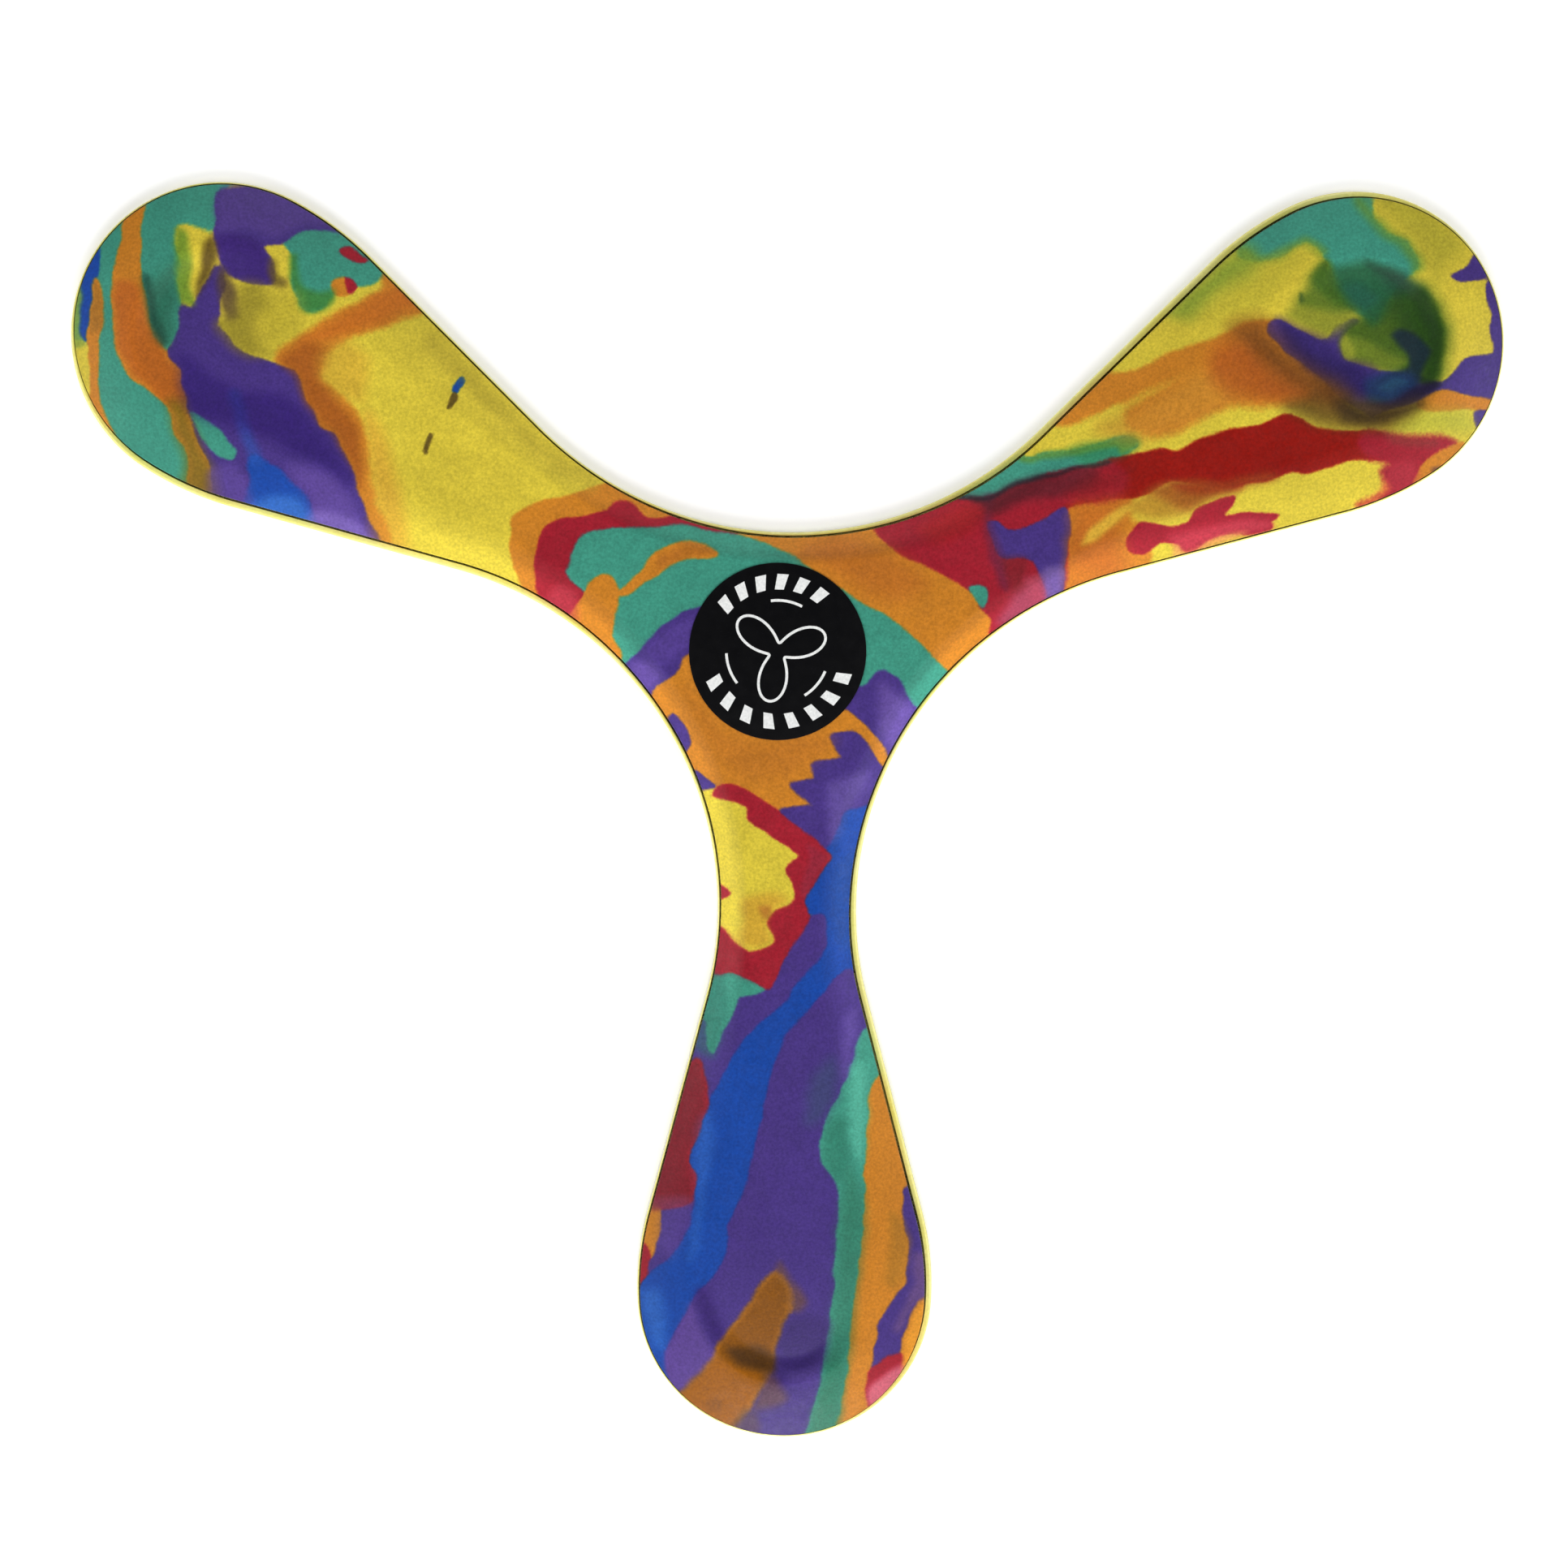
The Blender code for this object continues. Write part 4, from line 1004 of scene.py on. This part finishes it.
def build_skin():
    """The marbled skin: fine triangles over its top, a rounded upper edge, a wall and a closed back."""
    rim, inward, lip = rim_samples()
    count = len(rim)
    edge = rim + inward * (lip + WALL_ROUND)[:, None]
    top, faces, above = skin_top(edge)

    # Rings below the top: round the upper edge, then drop down the wall to the plate
    points, first = [top], len(top)
    edge_height = top[above, 2]
    for step in range(WALL_ROUND_STEPS + 1):
        if step < WALL_ROUND_STEPS:
            angle = math.pi / 2.0 * (step + 1) / WALL_ROUND_STEPS
            out = WALL_ROUND * math.sin(angle)
            height = edge_height - WALL_ROUND * (1.0 - math.cos(angle))
        else:
            out = WALL_ROUND
            height = np.full(count, PLATE_TOP + CONTACT_GAP)
        ring = edge - inward * out
        points.append(np.column_stack([ring, height]))
        below = list(range(first, first + count))
        faces += [
            (below[i], below[(i + 1) % count], above[(i + 1) % count], above[i]) for i in range(count)
        ]
        above = below
        first += count
    faces.append(tuple(reversed(above)))
    return make_mesh("marbled_skin", np.concatenate(points), faces, SHARP_ANGLE)


def plate_profile(lip):
    """The plate's section as (inset, height) arrays, from the underside round the nose to the groove."""
    nose = np.minimum(NOSE_ROUND, NOSE_SHARE * lip)
    rings = []
    for step in range(NOSE_STEPS + 1):
        angle = math.pi / 2.0 * step / NOSE_STEPS
        height = NOSE_ROUND * (1.0 - math.sin(angle))
        rings.append((nose * (1.0 - math.cos(math.pi / 2.0 - angle)), np.full(len(lip), height)))
    for step in range(NOSE_STEPS + 1):
        angle = math.pi / 2.0 * step / NOSE_STEPS
        height = PLATE_TOP - NOSE_ROUND * (1.0 - math.sin(angle))
        rings.append((nose * (1.0 - math.cos(angle)), np.full(len(lip), height)))
    groove_top = lip - np.minimum(GROOVE_WIDTH, GROOVE_SHARE * lip)
    rings.append((groove_top, np.full(len(lip), PLATE_TOP)))
    for across, down in GROOVE_STEPS:
        height = PLATE_TOP - down * GROOVE_DEPTH
        rings.append((blend(groove_top, lip, across), np.full(len(lip), height)))
    rings.append((lip + GROOVE_REACH, np.full(len(lip), PLATE_TOP - GROOVE_DEPTH)))
    return rings


def build_plate():
    """The backing plate: its lip's section swept round the outline, closed under the skin."""
    rim, inward, lip = rim_samples()
    count = len(rim)
    points, faces = [], []
    for inset, height in plate_profile(lip):
        ring = rim + inward * inset[:, None]
        points.append(np.column_stack([ring, height]))
        if len(points) > 1:
            faces += ring_faces((len(points) - 2) * count, (len(points) - 1) * count, count)
    last = (len(points) - 1) * count
    faces.append(tuple(range(last, last + count)))
    faces.append(tuple(reversed(range(count))))
    plate = make_mesh("backing_plate", np.concatenate(points), faces, SHARP_ANGLE)
    # Painted shade: the groove's rings are painted dark
    dark = np.zeros(len(points) * count)
    dark[-3 * count :] = 1.0
    layer = plate.data.attributes.new(GROOVE_SHADE_ATTRIBUTE, "FLOAT", "POINT")
    layer.data.foreach_set("value", dark.astype(np.float32))
    return plate


def build_label():
    """The vinyl label: a thin disc with a softened upper edge, lying on the skin."""
    low = SKIN_TOP + LABEL_LIFT
    high = low + LABEL_THICKNESS
    section = [(LABEL_RADIUS, low)]
    for step in range(LABEL_EDGE_STEPS + 1):
        angle = math.pi / 2.0 * step / LABEL_EDGE_STEPS
        radius = LABEL_RADIUS - LABEL_EDGE_ROUND * (1.0 - math.cos(angle))
        section.append((radius, high - LABEL_EDGE_ROUND * (1.0 - math.sin(angle))))
    points, faces = [], []
    for radius, height in section:
        ring = circle(LABEL_MIDDLE, radius, LABEL_SIDES)
        points.append(np.column_stack([ring, np.full(LABEL_SIDES, height)]))
        if len(points) > 1:
            first = (len(points) - 2) * LABEL_SIDES
            faces += ring_faces(first, first + LABEL_SIDES, LABEL_SIDES)
    last = (len(points) - 1) * LABEL_SIDES
    faces.append(tuple(range(last, last + LABEL_SIDES)))
    faces.append(tuple(reversed(range(LABEL_SIDES))))
    return make_mesh("vinyl_label", np.concatenate(points), faces, SHARP_ANGLE)


def slab(outline, points, faces):
    """Adds one thin slab of print, given its outline in metres from the label's centre."""
    first, count = len(points), len(outline)
    for height in (PRINT_LOW, PRINT_HIGH):
        points += [(x, y, height) for x, y in LABEL_MIDDLE + np.array(outline)]
    faces += ring_faces(first, first + count, count)
    faces.append(tuple(range(first + count, first + 2 * count)))
    faces.append(tuple(reversed(range(first, first + count))))


def arc_bar(radius, middle, width, height, lean):
    """Outline of a slanted bar that stands on an arc round the label's centre; degrees and metres."""
    corners = []
    for across, up in ((-0.5, -0.5), (0.5, -0.5), (0.5, 0.5), (-0.5, 0.5)):
        angle = math.radians(middle) + (across * width + up * lean) / radius
        reach = radius + up * height
        corners.append((reach * math.cos(angle), reach * math.sin(angle)))
    return corners


def ribbon(path, closed, points, faces):
    """Adds a line of print of even width along a path, in metres from the label's centre."""
    path = np.array(path)
    if closed:
        along = np.roll(path, -1, axis=0) - np.roll(path, 1, axis=0)
    else:
        along = np.gradient(path, axis=0)
    along /= np.linalg.norm(along, axis=1)[:, None]
    side = np.stack([-along[:, 1], along[:, 0]], axis=1) * PRINT_LINE / 2.0
    first, count = len(points), len(path)
    section = ((side, PRINT_LOW), (-side, PRINT_LOW), (-side, PRINT_HIGH), (side, PRINT_HIGH))
    for edge, height in section:
        points += [(x, y, height) for x, y in LABEL_MIDDLE + path + edge]
    corners = [first + corner * count for corner in range(4)]
    for near, far in zip(corners, corners[1:] + corners[:1]):
        for i in range(count if closed else count - 1):
            after = (i + 1) % count
            faces.append((near + i, far + i, far + after, near + after))
    if not closed:
        faces.append(tuple(reversed(corners)))
        faces.append(tuple(corner + count - 1 for corner in corners))


def build_print():
    """The label's white print: two arcs of slanted bars round a plain three-bladed outline."""
    points, faces = [], []
    for middle in np.linspace(PRINT_UPPER[0], PRINT_UPPER[1], PRINT_UPPER_BARS):
        slab(arc_bar(PRINT_RADIUS, middle, PRINT_BAR_WIDTH, PRINT_BAR_HEIGHT, -PRINT_LEAN), points, faces)
    for middle in np.linspace(PRINT_LOWER[0], PRINT_LOWER[1], PRINT_LOWER_BARS):
        slab(arc_bar(PRINT_RADIUS, middle, PRINT_BAR_WIDTH, PRINT_BAR_HEIGHT, PRINT_LEAN), points, faces)
    ribbon(blade_outline(), True, points, faces)
    for sweep in PRINT_SWEEPS:
        angles = np.radians(np.linspace(*sweep, PRINT_SWEEP_STEPS))
        path = np.stack([np.cos(angles), np.sin(angles)], axis=1) * PRINT_SWEEP_RADIUS
        ribbon(path, False, points, faces)
    return make_mesh("label_print", points, faces, SHARP_ANGLE)


def blade_outline():
    """A small three-bladed outline for the print, as one closed path."""
    path = []
    width = 360.0 / BLADES
    for blade in range(BLADES):
        turn = turned(PRINT_TURN + width * blade)
        for step in range(BLADE_STEPS):
            share = step / BLADE_STEPS
            angle = math.radians(width * (share - 0.5))
            lobe = math.cos(angle * BLADES / 2.0) ** BLADE_SHARPNESS
            reach = blend(BLADE_HUB, BLADE_TIP, lobe)
            spot = np.array((reach * math.cos(angle), reach * math.sin(angle)))
            path.append(turn @ spot)
    return path


# ---------------------------------------------------------------- materials


class Graph:
    """A material's nodes, added and linked by short calls."""

    def __init__(self, name):
        self.material = bpy.data.materials.new(name)
        self.material.use_nodes = True
        self.tree = self.material.node_tree
        self.shader = self.tree.nodes["Principled BSDF"]

    def put(self, socket, value):
        """Links a socket into an input, or sets the input's value."""
        if isinstance(value, bpy.types.NodeSocket):
            self.tree.links.new(value, socket)
        elif isinstance(value, tuple) and len(value) == 3 and socket.type == "RGBA":
            socket.default_value = (*value, 1.0)
        else:
            socket.default_value = value

    def node(self, kind, output=0, **inputs):
        """A node of a kind with some inputs set, by their names; gives one output."""
        made = self.tree.nodes.new(kind)
        for name, value in inputs.items():
            self.put(made.inputs[name.replace("_", " ")], value)
        return made.outputs[output]

    def attribute(self, name):
        """The colour and alpha of a mesh attribute."""
        made = self.tree.nodes.new("ShaderNodeAttribute")
        made.attribute_name = name
        return made.outputs["Color"], made.outputs["Alpha"]

    def factor(self, name):
        """The single value of a mesh attribute."""
        made = self.tree.nodes.new("ShaderNodeAttribute")
        made.attribute_name = name
        return made.outputs["Fac"]

    def reach(self):
        """Each point's distance from the origin in metres."""
        made = self.tree.nodes.new("ShaderNodeVectorMath")
        made.operation = "LENGTH"
        self.put(made.inputs[0], self.node("ShaderNodeTexCoord", output="Object"))
        return made.outputs["Value"]

    def split(self, colour):
        """The three channels of a colour."""
        made = self.tree.nodes.new("ShaderNodeSeparateColor")
        self.put(made.inputs["Color"], colour)
        return list(made.outputs)[:3]

    def maths(self, operation, first, second=0.0, third=0.0):
        """A Math node."""
        made = self.tree.nodes.new("ShaderNodeMath")
        made.operation = operation
        for socket, value in zip(made.inputs, (first, second, third)):
            self.put(socket, value)
        return made.outputs[0]

    def mix(self, share, first, second, way="MIX"):
        """A Mix node for colours."""
        made = self.tree.nodes.new("ShaderNodeMix")
        made.data_type = "RGBA"
        made.blend_type = way
        made.clamp_factor = True
        colours = [socket for socket in made.inputs if socket.type == "RGBA"]
        self.put(made.inputs["Factor"], share)
        self.put(colours[0], first)
        self.put(colours[1], second)
        return next(socket for socket in made.outputs if socket.type == "RGBA")

    def spread(self, value, low, high, least=0.0, most=1.0, smooth=False):
        """A Map Range node."""
        made = self.tree.nodes.new("ShaderNodeMapRange")
        made.interpolation_type = "SMOOTHSTEP" if smooth else "LINEAR"
        for name, setting in (
            ("Value", value),
            ("From Min", low),
            ("From Max", high),
            ("To Min", least),
            ("To Max", most),
        ):
            self.put(made.inputs[name], setting)
        return made.outputs["Result"]

    def noise(self, size, detail=2.0, roughness=0.5):
        """Noise whose features are about a size in metres across, from 0 to 1."""
        where = self.node("ShaderNodeTexCoord", output="Object")
        return self.node(
            "ShaderNodeTexNoise", Vector=where, Scale=1.0 / size, Detail=detail, Roughness=roughness
        )

    def mottle(self, size, low=0.0, high=1.0, detail=3.0, roughness=0.5, window=MOTTLE_WINDOW):
        """Noise of a feature size in metres, with a window of it stretched to run from low to high."""
        return self.spread(self.noise(size, detail, roughness), *window, low, high)

    def bump(self, height, strength, distance, normal=None):
        """A Bump node."""
        made = self.tree.nodes.new("ShaderNodeBump")
        self.put(made.inputs["Strength"], strength)
        self.put(made.inputs["Distance"], distance)
        self.put(made.inputs["Height"], height)
        if normal is not None:
            self.put(made.inputs["Normal"], normal)
        return made.outputs["Normal"]

    def finish(self, **inputs):
        """Sets the shader's inputs and gives the material."""
        for name, value in inputs.items():
            self.put(self.shader.inputs[name.replace("_", " ")], value)
        return self.material


def pigment_colour(graph):
    """The pigments mixed in turn by their painted shares, with grain along the edges between them."""
    names = list(PIGMENTS)
    shares = []
    for name in SHARE_ATTRIBUTES:
        colour, alpha = graph.attribute(name)
        shares += graph.split(colour) + [alpha]
    wander = graph.maths("MULTIPLY_ADD", graph.noise(EDGE_GRAIN), EDGE_WANDER, -EDGE_WANDER / 2.0)
    colour = pigment_power(PIGMENTS[names[0]])
    total = shares[0]
    for name, share in zip(names[1:], shares[1:]):
        total = graph.maths("ADD", total, share)
        part = graph.maths("DIVIDE", share, graph.maths("MAXIMUM", total, 0.001))
        cover = graph.spread(graph.maths("ADD", part, wander), *EDGE_WINDOW, smooth=True)
        colour = graph.mix(cover, colour, pigment_power(PIGMENTS[name]))
    return colour


def marbled_material():
    """Semi-matte moulded plastic in poured, marbled colours, with tints and painted light and shade laid into
    its colour.
    """
    graph = Graph("marbled_plastic")
    # Tints over the pigments, many of them painted shade in the scoops and painted light over bevels
    tint_and_light, cover = graph.attribute(TINT_AND_LIGHT_ATTRIBUTE)
    colour = graph.mix(cover, pigment_colour(graph), (0.0, 0.0, 0.0))
    colour = graph.mix(1.0, colour, tint_and_light, "ADD")
    colour = graph.node("ShaderNodeGamma", Color=colour, Gamma=1.0 / PIGMENT_POWER)
    cloud = graph.mottle(9.0 * MM, 0.93, 1.07)
    streak = graph.mottle(2.2 * MM, 0.955, 1.045, detail=4.0, roughness=0.6)
    grain = graph.mottle(0.5 * MM, 0.81, 1.19, detail=2.0, window=GRAIN_WINDOW)
    # Painted light: the colour is lightened over the bevels
    thin = graph.spread(graph.factor(BEVEL_LIGHT_ATTRIBUTE), 0.0, 1.0, 1.0, BEVEL_LIGHT_GAIN)
    for shade in (cloud, streak, grain, thin):
        colour = graph.mix(1.0, colour, shade, "MULTIPLY")
    normal = graph.bump(graph.noise(0.5 * MM), 0.5, 0.06 * MM)
    normal = graph.bump(graph.noise(4.0 * MM), 0.2, 0.25 * MM, normal)
    roughness = graph.mottle(1.5 * MM, 0.42, 0.54)
    return graph.finish(
        Base_Color=colour, Roughness=roughness, Normal=normal, Specular_IOR_Level=0.18
    )


def plate_material():
    """Glossy yellow plastic, a little cloudy, with faint flow marks, and painted shade in the groove along
    the skin's foot.
    """
    graph = Graph("yellow_plastic")
    cloud = graph.mottle(14.0 * MM)
    colour = graph.mix(cloud, *map(linear, PLATE_COLOURS))
    speck = graph.mottle(0.6 * MM, 0.94, 1.05, detail=2.0, window=GRAIN_WINDOW)
    colour = graph.mix(1.0, colour, speck, "MULTIPLY")
    # Painted shade: the groove along the skin's foot is painted dark
    groove = graph.factor(GROOVE_SHADE_ATTRIBUTE)
    colour = graph.mix(groove, colour, linear(GROOVE_SHADE_COLOUR))
    normal = graph.bump(graph.noise(1.2 * MM), 0.15, 0.05 * MM)
    roughness = graph.mottle(3.0 * MM, 0.20, 0.34)
    return graph.finish(Base_Color=colour, Roughness=roughness, Normal=normal, Coat_Weight=0.3)


def vinyl_material():
    """Black label vinyl with a slight orange-peel and dust-fine specks."""
    graph = Graph("black_vinyl")
    speck = graph.mottle(0.25 * MM, detail=2.0, window=SPECK_WINDOW)
    colour = graph.mix(speck, *VINYL_COLOURS)
    normal = graph.bump(graph.noise(0.9 * MM), 0.12, 0.03 * MM)
    roughness = graph.mottle(2.0 * MM, 0.34, 0.42)
    return graph.finish(
        Base_Color=colour, Roughness=roughness, Normal=normal, Specular_IOR_Level=0.15
    )


def ink_material():
    """White screen print, slightly uneven where the ink is thin."""
    graph = Graph("white_ink")
    thin = graph.mottle(0.4 * MM)
    colour = graph.mix(thin, *map(linear, INK_COLOURS))
    roughness = graph.mottle(0.8 * MM, 0.5, 0.6, detail=2.0)
    return graph.finish(Base_Color=colour, Roughness=roughness)


def floor_material():
    """A plain pale studio floor, very faintly uneven."""
    graph = Graph("pale_floor")
    colour = graph.mix(graph.mottle(60.0 * MM, detail=2.0), *FLOOR_COLOURS)
    glow = graph.spread(graph.reach(), *FLOOR_REACHES, FLOOR_GLOW, FLOOR_FAR_GLOW, smooth=True)
    return graph.finish(
        Base_Color=colour,
        Roughness=0.9,
        Specular_IOR_Level=0.1,
        Emission_Color=(1.0, 1.0, 1.0),
        Emission_Strength=glow,
    )


def paint(piece):
    """Writes the pigment shares, the tints with their painted light and shade, and the painted light over the
    bevels onto a mesh's points.
    """
    mesh = piece.data
    points = np.zeros(len(mesh.vertices) * 3)
    mesh.vertices.foreach_get("co", points)
    places = points.reshape(-1, 3) / MM
    places = warped(places[:, :2] * (1.0 + places[:, 2:] * MARBLE_GROWTH) + MARBLE_SHIFT)
    shares = pigment_shares(places)
    colour, cover = tint_and_light_cover(places)
    layers = {
        SHARE_ATTRIBUTES[0]: shares[:, :4],
        SHARE_ATTRIBUTES[1]: shares[:, 4:],
        TINT_AND_LIGHT_ATTRIBUTE: np.column_stack([colour, cover]),
    }
    for name, values in layers.items():
        layer = mesh.attributes.new(name, "FLOAT_COLOR", "POINT")
        layer.data.foreach_set("color", values.astype(np.float32).ravel())
    # Painted light: lighter over the outer share of each bevel, fading out along the wing towards the tip
    depth, _, leading, reach = rim_depth(points.reshape(-1, 3)[:, :2])
    thin = 1.0 - rise(*BEVEL_LIGHT_WINDOW, depth / bevel_width(leading, reach))
    thin *= blend(1.0, BEVEL_LIGHT_AT_TIP, rise(*BEVEL_LIGHT_REACHES, reach))
    layer = mesh.attributes.new(BEVEL_LIGHT_ATTRIBUTE, "FLOAT", "POINT")
    layer.data.foreach_set("value", thin.astype(np.float32))


# ---------------------------------------------------------------- studio


def build_camera():
    """The camera, nearly overhead and leaning a little towards the lower wing."""
    x, y = CAMERA_FORWARD
    forward = Vector((x, y, -math.sqrt(1.0 - x * x - y * y)))
    roll = math.radians(CAMERA_ROLL)
    up = Vector((-math.sin(roll), math.cos(roll), 0.0))
    right = forward.cross(up).normalized()
    up = right.cross(forward)
    target = Vector((*CAMERA_TARGET, PLATE_TOP / 2.0))
    hub = Vector((0.0, 0.0, PLATE_TOP / 2.0))
    distance = CAMERA_DEPTH + (target - hub).dot(forward)
    data = bpy.data.cameras.new("camera")
    data.sensor_width = SENSOR_WIDTH
    data.lens = LENS
    data.clip_start, data.clip_end = CAMERA_CLIP
    camera = bpy.data.objects.new("camera", data)
    turn = Matrix((right, up, -forward)).transposed().to_4x4()
    camera.matrix_world = Matrix.Translation(target - forward * distance) @ turn
    bpy.context.scene.collection.objects.link(camera)
    bpy.context.scene.camera = camera


def soft_light(name, heading, elevation, power):
    """A square softbox aimed at the hub; heading is in degrees anticlockwise from +X."""
    data = bpy.data.lights.new(name, "AREA")
    data.shape = "SQUARE"
    data.size = LIGHT_SIZE
    data.energy = power
    light = bpy.data.objects.new(name, data)
    flat = math.cos(math.radians(elevation))
    away = Vector(
        (
            flat * math.cos(math.radians(heading)),
            flat * math.sin(math.radians(heading)),
            math.sin(math.radians(elevation)),
        )
    )
    light.location = away * LIGHT_DISTANCE
    light.rotation_euler = away.to_track_quat("Z", "Y").to_euler()
    light.visible_camera = False
    bpy.context.scene.collection.objects.link(light)


def build_studio():
    """Pale floor, soft lights and an even pale surround."""
    half = FLOOR_SIZE / 2.0
    corners = [(-half, -half), (half, -half), (half, half), (-half, half)]
    mesh = bpy.data.meshes.new("floor")
    mesh.from_pydata([(x, y, -FLOOR_DROP) for x, y in corners], [], [(0, 1, 2, 3)])
    mesh.materials.append(floor_material())
    floor = bpy.data.objects.new("floor", mesh)
    bpy.context.scene.collection.objects.link(floor)
    for light in LIGHTS:
        soft_light(*light)
    world = bpy.data.worlds.new("surround")
    world.use_nodes = True
    background = world.node_tree.nodes["Background"]
    background.inputs["Color"].default_value = (1.0, 1.0, 1.0, 1.0)
    light_path = world.node_tree.nodes.new("ShaderNodeLightPath")
    strength = world.node_tree.nodes.new("ShaderNodeMapRange")
    strength.inputs["To Min"].default_value = SURROUND_LIGHT
    strength.inputs["To Max"].default_value = SURROUND_SEEN
    world.node_tree.links.new(light_path.outputs["Is Camera Ray"], strength.inputs["Value"])
    world.node_tree.links.new(strength.outputs["Result"], background.inputs["Strength"])
    bpy.context.scene.world = world
    bpy.context.scene.view_settings.view_transform = "Standard"


def place(piece, material, node, slot):
    """Gives a piece its material, and ties it to the frame."""
    piece.data.materials.append(material)
    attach(piece, "root")
    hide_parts(node)


def main():
    """Builds and paints the pieces, then the studio round them."""
    skin = build_skin()
    paint(skin)
    place(skin, marbled_material(), "top_skin", "marbled_skin")
    place(build_plate(), plate_material(), "base_layer", "backing")
    place(build_label(), vinyl_material(), "hub_label", "label")
    place(build_print(), ink_material(), "hub_label", "label")
    build_studio()
    build_camera()


main()
